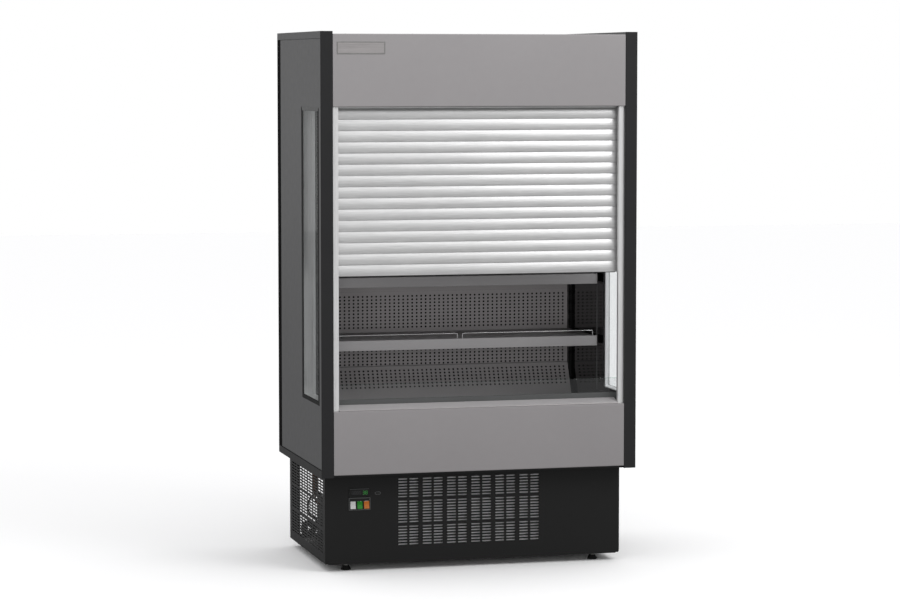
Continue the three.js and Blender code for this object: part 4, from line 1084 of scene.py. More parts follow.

# %% [markdown]
# ## Perforated back
#
# The cold air comes through the back in bands of round holes, nine or ten rows
# each, with plain strips between the bands. The panel is hung in three lengths.
# Dots painted on a plain sheet would do from far away. Real holes also have
# an edge that catches light. The darkness behind them is painted shade: the
# rear wall's inner face is matt black.

# %% Back panels
HOLE = 0.0078
COLUMN_PITCH = 0.018
ROW_PITCH = 0.0134
COLUMNS = 59
BACK_Y = back(0.690)
BACK_HALF = 0.5405
edges = (np.arange(COLUMNS + 1) - COLUMNS / 2) * COLUMN_PITCH
across = [-BACK_HALF, *edges, BACK_HALF]


def perforated(low, high, groups):
    """A sheet as wide as the back with bands of round holes, in (x, height)."""
    levels, rows = bands(low, high, ROW_PITCH, groups)
    return punched(across, levels, lambda i, j: (HOLE, HOLE) if j in rows and 0 < i <= COLUMNS else None)


PANELS = {
    "low": (0.6995, 0.9886, ((0.812, 9), (0.970, 10))),
    "middle": (0.9890, 1.3046, ((1.128, 10), (1.286, 10))),
    "high": (1.3050, 1.7160, ((1.444, 10), (1.602, 10))),
}


for label, (low, high, groups) in PANELS.items():
    flat, faces = perforated(low, high, groups)
    node = ["back_duct_panel"] if label == "low" else []
    sheet_piece(f"back_panel_{label}", (at_depth(flat, BACK_Y), faces), BACK, 0.0012, stands_for=node)
returns = []
for side, sign in SIDES:
    edge = [(sign * 0.53985, y) for y in (BACK_Y + 0.0013, back(0.708))]
    returns.append(prism(folded(edge, 0.0012), 0.6996, 1.7159, "Z"))
piece("back_panel_returns", together(*returns), BACK)
print("holes in one row:", COLUMNS)

# %% [markdown]
# Below, a sloping panel leads down to the deck. Its upper half is punched,
# and its top edge is a narrow flange that catches the light.
# It is the same grid as the back, laid on the slope by adding a share of the
# slope's direction for each row. Turning an object would do it too, but a
# piece keeps its place in its mesh.

# %% Sloping panel
FOOT_AT, TOP_AT = section((0.624, 0.5593), (0.684, 0.6951))
SLOPE = np.linalg.norm(TOP_AT - FOOT_AT)
ramp = (TOP_AT - FOOT_AT) / SLOPE
flat, faces = perforated(0.0, SLOPE, ((0.1331, 6),))
slope_points = np.column_stack([flat[:, 0], FOOT_AT + flat[:, 1:] * ramp])
sheet_piece("sloping_panel", (slope_points, faces), BACK, 0.0012,
            stands_for=["lower_back_panel"], out=(0, -1, 0.4))
flange = [TOP_AT + (0.0006, 0.0), *section((0.6846, 0.6980), (0.7040, 0.6980))]
toe = section((0.6262, 0.5599), (0.6380, 0.5599))
folds = together(prism(folded(flange, 0.0012, 0.0015), -BACK_HALF, BACK_HALF),
                 prism(folded(toe, 0.0012), -BACK_HALF, BACK_HALF))
piece("sloping_panel_folds", folds, SHELF, slot="back_grey")
print("slope", round(SLOPE, 4), "m long")

# %% [markdown]
# ## Shelves
#
# A shelf is folded from one sheet: the price rail at the front, a hem above
# the plate, the plate, and a rear flange. Bent wires keep the goods from
# sliding off, one on each half.
# Each fold could be a box of its own, but one folded line has the soft bends
# of a real sheet.

# %% Shelves
SHELF_HALF = 0.540
FIRST_TOP, SHELF_PITCH = 0.836, 0.237
PLATE_DROP = 0.003


def shelf_line(top):
    """Middle line of the shelf's sheet, from the return under the rail to the rear flange."""
    plate = top - PLATE_DROP
    return section((0.311, top - 0.03825), (0.29675, top - 0.03825), (0.29675, top - 0.00075),
                   (0.29885, top - 0.00075), (0.29885, plate - 0.00075),
                   (0.66525, plate - 0.00075), (0.66525, plate - 0.020))


def cheek(top, sign):
    """The end plate that closes a shelf on one side."""
    plate = top - PLATE_DROP
    x = sorted((sign * (SHELF_HALF - 0.0001), sign * (SHELF_HALF - 0.0014)))
    return block(*x, back(0.2995), back(0.6640), plate - 0.020, plate - 0.0016)


def fence(top, sign):
    """A wire bent up from the plate, along, and down again."""
    foot = top - PLATE_DROP - 0.001
    crown = top + 0.0192
    y = back(0.305)
    low, high = sign * 0.010, sign * 0.525
    middle = [(x, y, crown) for x in np.linspace(low, high, 9)[1:-1]]
    path = [(low, y, foot), (low, y, crown), *middle, (high, y, crown), (high, y, foot)]
    return tube(rounded(path, 0.0065, 6), 0.0018, 14)


def stiffener(top):
    """A shallow channel under the plate, in the middle of its depth."""
    plate = top - PLATE_DROP - 0.0016
    line = section((0.440, plate - 0.0006), (0.452, plate - 0.0006), (0.456, plate - 0.0140),
                   (0.496, plate - 0.0140), (0.500, plate - 0.0006), (0.512, plate - 0.0006))
    return prism(folded(line, 0.0012, 0.002), -0.52, 0.52)


for index in range(4):
    top = FIRST_TOP + index * SHELF_PITCH
    sheet = prism(folded(shelf_line(top), SHEET, 0.0022, 4), -SHELF_HALF, SHELF_HALF)
    body = together(sheet, cheek(top, -1), cheek(top, 1), stiffener(top))
    piece(f"shelf_{index + 1}_sheet", body, SHELF, stands_for=[f"shelf_{index + 1}"])
    wires = together(fence(top, -1), fence(top, 1))
    piece(f"shelf_{index + 1}_fences", wires, WIRE)
print("four shelves, each with two fences")

# %% [markdown]
# The brackets are stamped plates: shallow at the nose, deep at the root, with
# two hooks that reach into the slots of the uprights.
# A plain triangle would look right from the front, but the hooks show from
# the side, so the plate is one outline with its hooks.

# %% Brackets and uprights
HOOK_STEP = 0.0395


def bracket(top):
    """A stamped bracket in (depth, height), its hooks at the rear."""
    plate = top - PLATE_DROP
    nose, root = 0.302, 0.6717
    throat = root + 0.0027

    def hook(z):
        """A neck at height z, a drop behind the slot, and the rise back."""
        return [(root, z - 0.005), (throat, z - 0.005), (throat, z - 0.009),
                (throat + 0.003, z - 0.007), (throat + 0.003, z + 0.005), (root, z + 0.005)]

    line = [(nose, plate - 0.0005), (nose, plate - 0.022), (nose + 0.008, plate - 0.030),
            (root - 0.120, plate - 0.036), (root, plate - 0.066), *hook(plate - 0.015 - HOOK_STEP),
            *hook(plate - 0.015), (root, plate - 0.0005)]
    return rounded(section(*line), 0.0016, 2, closed=True)


for index in range(4):
    top = FIRST_TOP + index * SHELF_PITCH
    for side, sign in SIDES:
        x = sorted((sign * 0.5441, sign * 0.5469))
        node = [f"shelf_{index + 1}_{side}_bracket"] if index < 2 else []
        piece(f"bracket_{index + 1}_{side}", prism(bracket(top), *x), BLACK,
              stands_for=node, edge=0.0004)
for side, sign in SIDES:
    eased(f"{side}_standard", BLACK, edge=0.0004)
print("eight brackets, two uprights")

# %% [markdown]
# ## Deck, canopy and lamp
#
# The deck pan and the canopy are plain folded sheets with rows of air slots.
# A honeycomb strip above the outlet slots straightens the curtain of air.
# The solids already have these slots, so their edges are only eased. The
# honeycomb is a punched sheet with a thick wall, which is lighter than a
# thousand tubes.

# %% Deck, canopy, lamp
eased("deck_pan", PAN, edge=0.0006)
eased("canopy_duct", SHELF, slot="back_grey", edge=0.0004)
eased("insulated_tub", BLACK, edge=0.0012)
eased("canopy_lamp", DIFFUSER, edge=0.0010)

cell = 0.0055
us = np.arange(-0.528, 0.5281, cell)
vs = np.arange(0, 6) * cell + back(0.0975)
flat, faces = punched(us, vs, lambda i, j: (cell * 0.9, cell * 0.9))
comb = np.column_stack([flat, np.full(len(flat), 1.7196)])
sheet_piece("outlet_honeycomb", (comb, faces), FINS, 0.009, out=(0, 0, -1))
caps = [block(*sorted((s * 0.5152, s * 0.5212)), back(0.1485), back(0.1875), 1.6905, 1.7175)
        for s in (-1, 1)]
piece("lamp_caps", together(*caps), PLASTIC, edge=0.003)
print("honeycomb of", (len(us) - 1) * (len(vs) - 1), "cells")

# %% [markdown]
# ## Roof and rear wall
#
# None of these shows in the photograph. The roof is a shallow tray, the
# rear wall is a foamed panel with pressed grooves; both are held by screws.
# So the solids are eased as they are, and only the screws are new, each one
# turned from a profile.

# %% Roof and rear wall
rear = eased("rear_wall", SKIN, DEEP_BLACK, edge=0.0010)
# The inner face, seen only through the holes of the back, is painted matt black: painted shade for the
# dark duct behind them.
paint_faces(rear, 1, lambda c, n: n.y < -0.9)
eased("roof_panel", SKIN, edge=0.0008)


def screw_head(centre, axis):
    """A pan head 9 mm wide with a six-sided recess, its flat side at the centre."""
    profile = [(0.0, 0.0), (0.0045, 0.0), (0.0044, 0.0012), (0.0034, 0.0024), (0.0019, 0.0028),
               (0.0018, 0.0012), (0.0, 0.0011)]
    profile = [(r, h * (1 if axis[1] == "+" else -1)) for r, h in profile]
    return turned(profile, centre, axis[0], 18)


rear_screws = [(sign * 0.515, back(0.7930), z) for sign in (-1, 1) for z in np.linspace(0.42, 1.92, 6)]
roof_screws = [(x, y, 1.9765) for x in np.linspace(-0.5, 0.5, 5) for y in (back(0.040), back(0.746))]
heads = [screw_head(place, "Z+") for place in roof_screws]
piece("roof_screws", together(*heads), STEEL)
heads = [screw_head((x, y - 0.0019, z), "Y+") for x, y, z in rear_screws]
piece("rear_screws", together(*heads), STEEL)
print("screws:", len(roof_screws) + len(rear_screws))

# %% [markdown]
# ## Louvred base
#
# The front panel carries six pairs of slot columns in three groups of rows.
# Its left part is plain and holds the controls, so it is drawn as a sheet of
# its own with two cut-outs; the two sheets meet edge to edge.
# Slots cut by a Boolean would do as well, but the grid makes clean faces
# round each slot.

# %% Front panel
BASE_X, BASE_LOW, BASE_TOP = 0.568, 0.028, 0.3632
BASE_Y = back(0.099)
STEP_X, STEP_Z = 0.0135, 0.011
SLOT_HEIGHT, SLOT_PITCH = 0.005, 0.0109


def slot_columns(starts, length, side_room):
    """Column edges round slots that start at each of starts, and the slotted columns."""
    edges, columns = [], set()
    for start in starts:
        if not edges or start - side_room - edges[-1] > 1e-4:
            edges.append(start - side_room)
        columns.add(len(edges) - 1)
        edges.append(start + length + side_room)
    return edges, columns


FRONT_STARTS = sorted([-0.290 + 0.0932 * k + step for k in range(6) for step in (0.0, 0.0423)])
edges, columns = slot_columns(FRONT_STARTS, 0.0345, 0.0039)
levels, rows = bands(BASE_LOW + STEP_Z, BASE_TOP, SLOT_PITCH, ((0.160, 7), (0.254, 8), (0.3375, 7)))
us = [*edges, BASE_X - STEP_X, BASE_X]


def front_slot(i, j):
    """What is in cell (i, j): a slot, nothing, or the open corner at the foot."""
    if j == 0 and i == len(us) - 2:
        return "open"
    return (0.0345, SLOT_HEIGHT) if i in columns and j - 1 in rows else None


right_part = punched(us, [BASE_LOW, *levels], front_slot)

OPENINGS = ((-0.4741, -0.4025, 0.2804, 0.3054), (-0.4762, -0.3986, 0.2300, 0.2724))
GROMMET = (-0.368, 0.289, 0.0170, 0.0060)
lefts = sorted({-BASE_X, -BASE_X + STEP_X, us[0], *[v for o in OPENINGS for v in o[:2]],
                GROMMET[0] - 0.011, GROMMET[0] + 0.011})
heights = sorted({BASE_LOW, BASE_LOW + STEP_Z, BASE_TOP, *[v for o in OPENINGS for v in o[2:]],
                  GROMMET[1] - 0.0055, GROMMET[1] + 0.0055})


def control_cell(i, j):
    """What is in cell (i, j): an opening, the oval hole or nothing."""
    u = (lefts[i] + lefts[i + 1]) / 2
    v = (heights[j] + heights[j + 1]) / 2
    if i == 0 and j == 0:
        return "open"
    if any(u0 < u < u1 and v0 < v < v1 for u0, u1, v0, v1 in OPENINGS):
        return "open"
    here = abs(u - GROMMET[0]) < 1e-4 and abs(v - GROMMET[1]) < 1e-3
    return GROMMET[2:] if here else None


left_part = punched(lefts, heights, control_cell)
flat, faces = together(right_part, left_part)
sheet_piece("louvred_front", (at_depth(flat, BASE_Y), faces), BLACK, 0.0013,
            stands_for=["base_front_panel"])
hem = np.array([(0.0008, 0.004), (0.0008, 0.0008), (0.020, 0.0008)]) + (BASE_Y, BASE_LOW)
hem = prism(folded(hem, SHEET, 0.002), -BASE_X + STEP_X, BASE_X - STEP_X)
piece("louvred_front_hem", hem, BLACK)
print("front slots:", len(columns) * len(rows))

# %% [markdown]
# The side covers have the same slots, a little longer, in three groups of
# eight rows. Light falls through them from the open rear.
# One grid serves both sides, with the sign of x as the only difference.

# %% Side covers and frame
SIDE_STARTS = sorted([back(0.133 + 0.0965 * k + step) for k in range(6) for step in (0.0, 0.045)])
edges, columns = slot_columns(SIDE_STARTS, 0.038, 0.0034)
levels, rows = bands(0.033, BASE_TOP, SLOT_PITCH, ((0.1465, 8), (0.2425, 8), (0.335, 8)))
holes = lambda i, j: (0.038, SLOT_HEIGHT) if i - 1 in columns and j in rows else None
flat, faces = punched([back(0.1008), *edges, back(0.741)], levels, holes)
for side, sign in SIDES:
    cover = np.column_stack([np.full(len(flat), sign * BASE_X), flat])
    sheet_piece(f"louvred_{side}_side", (cover, faces), BLACK, 0.0013,
                stands_for=[f"base_{side}_grille"], out=(sign, 0, 0))
eased("base_frame", BLACK, edge=0.0004)
print("side slots:", len(columns) * len(rows), "on each side")

# %% [markdown]
# ## Feet
#
# Each levelling foot is a stepped rubber pad, a steel nut and a threaded stud.
# A screw thread could be a helix. At this size stacked rings look the same
# and cost less.

# %% Feet
FOOT_X = 0.478
FEET = {f"{end}_{side}": (sign * FOOT_X, back(depth))
        for end, depth in (("front", 0.150), ("rear", 0.690)) for side, sign in SIDES}
pad = [(0.0, 0.0), (0.0175, 0.0), (0.0186, 0.0006), (0.0189, 0.0016), (0.0189, 0.0048),
       (0.0182, 0.0060), (0.0150, 0.0092), (0.0138, 0.0120), (0.0130, 0.0150), (0.0118, 0.0168),
       (0.0, 0.0170)]
thread = [(0.0, 0.0168)]
for z in np.arange(0.0232, 0.0505, 0.0012):
    thread += [(0.0042, z), (0.0049, z + 0.0006)]
thread.append((0.0, thread[-1][1]))
for label, (x, y) in FEET.items():
    piece(f"{label}_pad", turned(pad, (x, y, 0), sides=40), RUBBER, body=f"{label}_foot",
          stands_for=[f"{label}_foot"])
    angle = np.radians(np.arange(6) * 60)
    nut = np.column_stack([x + 0.0098 * np.cos(angle), y + 0.0098 * np.sin(angle)])
    steel = together(prism(nut, 0.0169, 0.0230, "Z"), turned(thread, (x, y, 0), sides=20))
    piece(f"{label}_stud", steel, STEEL, body=f"{label}_foot", edge=0.0002)
print("feet:", ", ".join(FEET))

# %% [markdown]
# ## Controls
#
# The controller is a black face with a smoked window and two green digits.
# Below it a bezel holds three rocker switches. The keys on the controller's
# face are flat touch fields, so only their rims stand up.
# Frames are rings of rounded rectangles. A box with a hole would need a
# Boolean and would have no eased inner edge.

# %% Digit material and face frames
graph = material("green_digits")
flicker = graph.noise(900, 1.0) * 0.3 + 0.85
lit = graph.mix(graph.clamp(flicker - 0.5), (0.008, 0.10, 0.008, 1.0), (0.02, 0.17, 0.02, 1.0))
DIGITS = graph.output({
    "Base Color": (0.01, 0.05, 0.02, 1.0),
    "Roughness": graph.noise(40, 2.0) * 0.1 + 0.3,
    "Emission Color": lit,
    "Emission Strength": 1.0,
})


def round_rect(x, z, width, height, radius):
    """A rounded rectangle round (x, z)."""
    u, v = width / 2, height / 2
    return round_box(x - u, x + u, z - v, z + v, radius)


def slab(x, z, width, height, radius, y0, y1):
    """A flat plate with rounded corners, from y0 back to y1."""
    return prism(round_rect(x, z, width, height, radius), y0, y1, "Y")


def stepped(x, z, rows):
    """A ring round a Y axis, its section given as rows of (width, height, corner radius, y)."""
    return loop_body([at_depth(round_rect(x, z, w, h, r), y) for w, h, r, y in rows])


def raised_frame(x, z, outer, inner, y_back, y_front, ease, radius):
    """A frame round an opening, its front edges sloped by ease; outer, inner = (width, height)."""
    (wide, high), (in_wide, in_high) = outer, inner
    return stepped(x, z, [
        (*outer, radius, y_back), (*outer, radius, y_front + ease),
        (wide - 2 * ease, high - 2 * ease, radius - ease / 2, y_front),
        (in_wide + ease, in_high + ease, radius / 2 + ease / 2, y_front),
        (*inner, radius / 2, y_front + ease / 2), (*inner, radius / 2, y_back),
    ])


print("a frame has", len(raised_frame(0, 0, (2, 1), (1, 0.5), 1, 0, 0.1, 0.1)[0]), "points")

# %% [markdown]
# On the real unit the controller is a snap-in case with a window and touch
# fields. It could be one block with a picture on it. It is built in layers
# instead, case, window, brow, field and rims, because their edges catch the
# light at a slant. A digit is lit by up to seven bars.

# %% Controller
CX, CZ = -0.4383, 0.2929
FACE_Y = BASE_Y - 0.004
case = together(
    raised_frame(CX, CZ, (0.078, 0.0314), (0.0640, 0.0210), BASE_Y - 0.0003, FACE_Y, 0.0012, 0.0030),
    slab(CX, CZ, 0.0708, 0.0242, 0.002, BASE_Y - 0.0002, BASE_Y + 0.0095),
)
piece("controller_case", case, PLASTIC, stands_for=["controller"])
window = slab(CX, CZ, 0.0638, 0.0208, 0.0014, FACE_Y + 0.0014, BASE_Y - 0.0006)
piece("controller_window", window, LINER, edge=0.0003)
brow = slab(CX, CZ + 0.0138, 0.0735, 0.0017, 0.0008, FACE_Y - 0.0003, FACE_Y + 0.0006)
piece("controller_brow", brow, PALE)
panel = slab(CX - 0.0115, CZ, 0.0360, 0.0150, 0.0012, FACE_Y + 0.0010, FACE_Y + 0.0016)
piece("controller_label_field", panel, NOSE)
keys = [raised_frame(CX - 0.0250 + 0.0092 * k, CZ, (0.0066, 0.0100), (0.0056, 0.0090),
                     FACE_Y + 0.0012, FACE_Y + 0.0007, 0.0001, 0.0014) for k in range(4)]
piece("controller_key_rims", together(*keys), PALE)

SEGMENTS = {"3": "abcdg", "8": "abcdefg"}
SPOTS = {"a": (0, 1, 0), "b": (0.5, 0.5, 1), "c": (0.5, -0.5, 1), "d": (0, -1, 0),
         "e": (-0.5, -0.5, 1), "f": (-0.5, 0.5, 1), "g": (0, 0, 0)}


def segment(x, z, upright, length, width):
    """A six-sided bar of a seven-segment digit."""
    half, tip = length / 2, width / 2
    bar = [(-half, 0), (-half + tip, -tip), (half - tip, -tip), (half, 0), (half - tip, tip),
           (-half + tip, tip)]
    line = np.array(bar)[:, ::-1] if upright else np.array(bar)
    return prism(line + (x, z), FACE_Y + 0.0009, FACE_Y + 0.0014, "Y")


bars = []
for k, digit in enumerate("38"):
    for spot in SEGMENTS[digit]:
        right, up, upright = SPOTS[spot]
        x = CX + 0.0160 + 0.0105 * k + right * 0.0072
        bars.append(segment(x, CZ + up * 0.0062, upright, 0.0060, 0.0017))
piece("controller_digits", together(*bars), DIGITS, slot="switch_green")
print("controller with", len(bars), "lit bars")

# %% [markdown]
# Each rocker is a curved key on a pivot in a deep well. A block would do at
# rest, but a key that tilts needs a side view with a hollow front and a back
# that tapers, carried across its width.

# %% Switch bezel and rockers
BX, BZ = -0.4374, 0.2512
ROCKER_X, ROCKER_Z = -0.4362, 0.2465
ROCKER_W, ROCKER_H, ROCKER_PITCH = 0.0200, 0.0280, 0.0258
rim = raised_frame(BX, BZ, (0.082, 0.0468), (0.0766, 0.0408), BASE_Y - 0.0003, BASE_Y - 0.0040,
                   0.0010, 0.0028)
piece("switch_frame", rim, PALE, stands_for=["switch_bezel"])
wells = [raised_frame(ROCKER_X + (k - 1) * ROCKER_PITCH, ROCKER_Z, (0.0256, 0.0322),
                      (0.0210, 0.0302), BASE_Y + 0.018, BASE_Y - 0.0028, 0.0006, 0.0012)
         for k in range(3)]
piece("switch_wells", together(*wells), PLASTIC)
cover = slab(BX, 0.2672, 0.0762, 0.0086, 0.001, BASE_Y - 0.0014, BASE_Y - 0.0004)
piece("switch_blank", cover, PLASTIC, edge=0.0002)


def rocker_outline(tilt):
    """Side view of a rocker in (y, z) round its pivot, turned by tilt about X."""
    h = ROCKER_H / 2
    t = np.linspace(-1, 1, 15)
    front = np.column_stack([-0.0055 + 0.0018 * (1 - np.abs(t) ** 1.5), t * h])
    rear = np.array([(0.0, h), (0.006, h / 3), (0.006, -h / 3), (0.0, -h)])
    line = np.vstack([front, rear])
    c, s = math.cos(tilt), math.sin(tilt)
    return line @ ((c, s), (-s, c))


KEYS = {"white": WHITE_KEY, "green": GREEN_KEY, "orange": ORANGE_KEY}
PIVOT = (back(0.101), ROCKER_Z)
for k, (label, finish) in enumerate(KEYS.items()):
    x = ROCKER_X + (k - 1) * ROCKER_PITCH
    side_view = rocker_outline(math.radians(-7)) + PIVOT
    key = prism(side_view, x - ROCKER_W / 2, x + ROCKER_W / 2)
    piece(f"{label}_key", key, finish, body=f"{label}_rocker",
          stands_for=[f"{label}_rocker"], edge=0.0006)
print("rockers:", ", ".join(KEYS))

# %% [markdown]
# A small oval rim stands to the right of the controller. The plate on the
# upper fascia is bare brushed metal with a raised border.
# The oval could be a stretched circle, but a real one is a slot with round
# ends, so it shares the outline of the punched slots.

# %% Oval rim and badge plate
gx, gz = GROMMET[:2]
steps = [(0.0230, 0.0110, 0.0), (0.0230, 0.0110, -0.0014), (0.0214, 0.0096, -0.0020),
         (0.0186, 0.0070, -0.0020), (0.0168, 0.0058, -0.0010), (0.0168, 0.0058, 0.0012)]
turns = whole_turn(40)
rings = [at_depth(hole_outline(w, h, turns) + (gx, gz), BASE_Y + y) for w, h, y in steps]
piece("oval_rim", loop_body(rings), PALE)
plug = hole_outline(0.0166, 0.0056, turns) + (gx, gz)
plug = prism(plug, BASE_Y - 0.0002, BASE_Y + 0.0010, "Y")
piece("oval_plug", plug, PLASTIC)

PX, PZ, PW, PH = -0.4495, 1.9275, 0.179, 0.045
border = raised_frame(PX, PZ, (PW, PH), (PW - 0.007, PH - 0.007), back(0.00145), back(0.0002),
                      0.0004, 0.0016)
field = slab(PX, PZ, PW - 0.006, PH - 0.006, 0.001, back(0.0008), back(0.00142))
piece("badge_border", border, STEEL)
piece("badge_field", field, PLATE, stands_for=["badge_plate"])
print("oval rim and bare plate")

# %% [markdown]
# ## Machinery
#
# The coils are packs of thin fins on copper tubes. Through the front slots the
# edges of the condenser's fins read as one light grey field.
# A striped material could stand for the fins, but the gaps between real ones
# let the dark show through.

# %% Coils
def fin_pack(x0, x1, y0, y1, z0, z1, pitch, thick=0.0003):
    """Upright fins across X, as separate thin plates."""
    starts = np.arange(x0, x1 - thick, pitch)
    return together(*[block(x, x + thick, y0, y1, z0, z1) for x in starts])


def coil_tubes(x0, x1, ys, zs, radius=0.0048):
    """Straight tubes along x, one for each pair of y and z."""
    return [rod(radius, x0, x1, (0, y, z), "X", 16) for y in ys for z in zs]


def return_bend(x, way, y, z0, z1, radius=0.0046):
    """A half circle of tube that joins two tube ends, bulging towards way."""
    middle, half = (z0 + z1) / 2, (z1 - z0) / 2
    angle = np.linspace(-math.pi / 2, math.pi / 2, 13)
    curve = np.column_stack([x + way * half * np.cos(angle) * 0.9, np.full(13, y),
                             middle + half * np.sin(angle)])
    return tube(curve, radius, 12)


C_X0, C_X1, C_Y0, C_Y1, C_Z0, C_Z1 = -0.300, 0.260, back(0.112), back(0.170), 0.060, 0.350
ys = (C_Y0 + 0.016, C_Y0 + 0.042)
zs = C_Z0 + 0.020 + 0.0208 * np.arange(12)
fins = fin_pack(C_X0 + 0.004, C_X1 - 0.004, C_Y0, C_Y1, C_Z0 + 0.002, C_Z1 - 0.002, 0.0026,
                thick=0.0013)
plates = [block(x, x + 0.0015, C_Y0 - 0.001, C_Y1, C_Z0, C_Z1) for x in (C_X0, C_X1 - 0.0015)]
piece("condenser_fins", together(fins, *plates), FINS, stands_for=["condenser_coil"])
bends = [return_bend(C_X0 - 0.002, -1, y, zs[k], zs[k + 1]) for y in ys for k in range(0, 12, 2)]
bends += [return_bend(C_X1 + 0.002, 1, y, zs[k], zs[k + 1]) for y in ys for k in range(1, 11, 2)]
tubes = coil_tubes(C_X0 - 0.002, C_X1 + 0.002, ys, zs)
piece("condenser_tubes", together(*tubes, *bends), COPPER)
print("condenser:", len(zs) * 2, "tubes,", len(bends), "bends")

# %% [markdown]
# The shroud is a hood with a flared bore that leads the air into the fan.
# The bore could be cut by a Boolean. Here rays from its centre meet the
# plate's edge, so the plate and the flare are one clean ring of faces. The
# guard behind it is made of wire rings and four bent arms.

# %% Condenser shroud and motor
FAN_X, FAN_Z, FAN_Y, FAN_R = -0.020, 0.205, back(0.216), 0.118


def plate_with_bore(x0, x1, z0, z1, centre, radius, y0, y1, sides=64):
    """A plate with a flared round opening: rays from the centre meet the plate's edge."""
    angle = (np.arange(sides) + 0.5) / sides * 2 * math.pi
    way = np.column_stack([np.cos(angle), np.sin(angle)])
    reach = np.minimum(
        np.where(way[:, 0] > 0, x1 - centre[0], x0 - centre[0]) / way[:, 0],
        np.where(way[:, 1] > 0, z1 - centre[1], z0 - centre[1]) / way[:, 1],
    )
    outer = way * reach[:, None] + centre
    round_at = lambda r, y: at_depth(way * r + centre, y)
    loops = [at_depth(outer, y0), at_depth(outer, y1), round_at(radius + 0.006, y1),
             round_at(radius + 0.0015, y1 + 0.004), round_at(radius + 0.0015, y1 + 0.012),
             round_at(radius, y1 + 0.012), round_at(radius, y1 + 0.003), round_at(radius + 0.004, y0)]
    return loop_body(loops)


S_Y1, TRAY = back(0.230), 0.0323
bore = plate_with_bore(C_X0, C_X1, C_Z0, C_Z1, (FAN_X, FAN_Z), FAN_R + 0.005, S_Y1 - 0.0015, S_Y1)
cx, cz = (C_X0 + C_X1) / 2, (C_Z0 + C_Z1) / 2
wide, high = C_X1 - C_X0, C_Z1 - C_Z0
hood = stepped(cx, cz, [
    (wide, high, 0.004, C_Y1 + 0.0002), (wide, high, 0.004, S_Y1 - 0.0016),
    (wide - 0.003, high - 0.003, 0.003, S_Y1 - 0.0016),
    (wide - 0.003, high - 0.003, 0.003, C_Y1 + 0.0002),
])
feet = [block(x, x + 0.030, C_Y0 + 0.006, S_Y1 - 0.004, TRAY, C_Z0) for x in (C_X0, C_X1 - 0.030)]
piece("condenser_shroud", together(bore, hood, *feet), BLACK)

MOTOR_Y = FAN_Y + 0.026
motor = [(0.0, 0.0), (0.026, 0.0), (0.031, 0.004), (0.0325, 0.012), (0.0325, 0.034), (0.031, 0.042),
         (0.025, 0.0465), (0.010, 0.0475), (0.0, 0.0475)]
motor = turned(motor, (FAN_X, MOTOR_Y, FAN_Z), "Y", 40)
shaft = rod(0.0042, FAN_Y + 0.0145, MOTOR_Y, (FAN_X, 0, FAN_Z), "Y", 20)
piece("condenser_motor", together(motor, shaft), LACQUER)
guard = []
for radius in (0.045, 0.066, 0.087, 0.108, 0.126):
    angle = np.linspace(0, 2 * math.pi, 49)[:-1]
    spine = np.column_stack([FAN_X + radius * np.cos(angle), np.full(48, MOTOR_Y - 0.004),
                             FAN_Z + radius * np.sin(angle)])
    out = spine - (FAN_X, MOTOR_Y - 0.004, FAN_Z)
    out /= np.linalg.norm(out, axis=1)[:, None]
    loops = [spine + 0.0013 * (out * math.cos(a) + np.array([0, 1, 0]) * math.sin(a))
             for a in np.radians(np.arange(8) * 45)]
    guard.append(loop_body(loops))
for a in np.radians([45, 135, 225, 315]):
    way = np.array([math.cos(a), 0, math.sin(a)])
    centre = np.array([FAN_X, MOTOR_Y - 0.0012, FAN_Z])
    line = [centre + way * 0.030, centre + way * 0.080, centre + way * 0.128,
            centre + way * 0.134 - (0, 0.008, 0), centre + way * 0.1345 - (0, 0.0105, 0)]
    guard.append(tube(rounded(line, 0.004, 3), 0.0018, 10))
piece("condenser_guard", together(*guard), STEEL)
print("shroud, motor and guard")

# %% [markdown]
# A fan blade is a curved sheet: at radius r its section spans an arc of that
# circle and climbs along the axis with the pitch angle, which eases towards
# the tip, plus a small camber.
# A flat sheet that is twisted would be simpler. The loft also gives the
# blade its thickness and its sickle lean.

# %% Fans
def blade(turn, hub, tip, pitch, thick, axial):
    """One blade as a loft of thin closed sections from hub to tip."""
    rings = []
    for share in np.linspace(0, 1, 9):
        r = hub * 0.9 + (tip - hub * 0.9) * share
        swell = 0.30 + 0.26 * math.sin(math.pi * min(1, share * 0.75 + 0.1))
        half = swell * (0.62 * tip / r + 0.38) * 0.8
        lean = 0.28 * share ** 1.5
        s = np.linspace(-1, 1, 9)
        angle = turn + lean + half * s
        climb = math.tan(pitch * (1 - 0.35 * share)) * r * half * s
        height = np.clip(climb + 0.05 * tip * (1 - s ** 2) * 0.5, -axial, axial)
        body = thick * (0.35 + 0.65 * np.sqrt(np.clip(1 - s ** 2, 0, 1))) * (1 - 0.3 * share)
        over = np.column_stack([r * np.cos(angle), height + body / 2, r * np.sin(angle)])
        under = np.column_stack([r * np.cos(angle), height - body / 2, r * np.sin(angle)])
        rings.append(np.vstack([over, under[::-1]]))
    return lofted(rings)


def fan(centre, radius, blades, length, thick=0.0022):
    """A turned hub with blades spread evenly round it, moved to centre."""
    hub = 0.3 * radius
    half = length / 2
    rim = [(0.0, -half), (hub * 0.55, -half), (hub * 0.9, -half + hub * 0.10), (hub, -half + hub * 0.3),
           (hub, half - 0.001), (hub - 0.001, half), (hub * 0.86, half), (hub * 0.84, half - 0.004),
           (0.006, half - 0.004), (0.006, half - 0.0002), (0.0, half - 0.0002)]
    parts = [turned(rim, (0, 0, 0), "Y", 48)]
    for k in range(blades):
        parts.append(blade(2 * math.pi * k / blades, hub, 0.97 * radius, 0.52, thick, half - 0.001))
    points, groups = together(*parts)
    return points + centre, groups


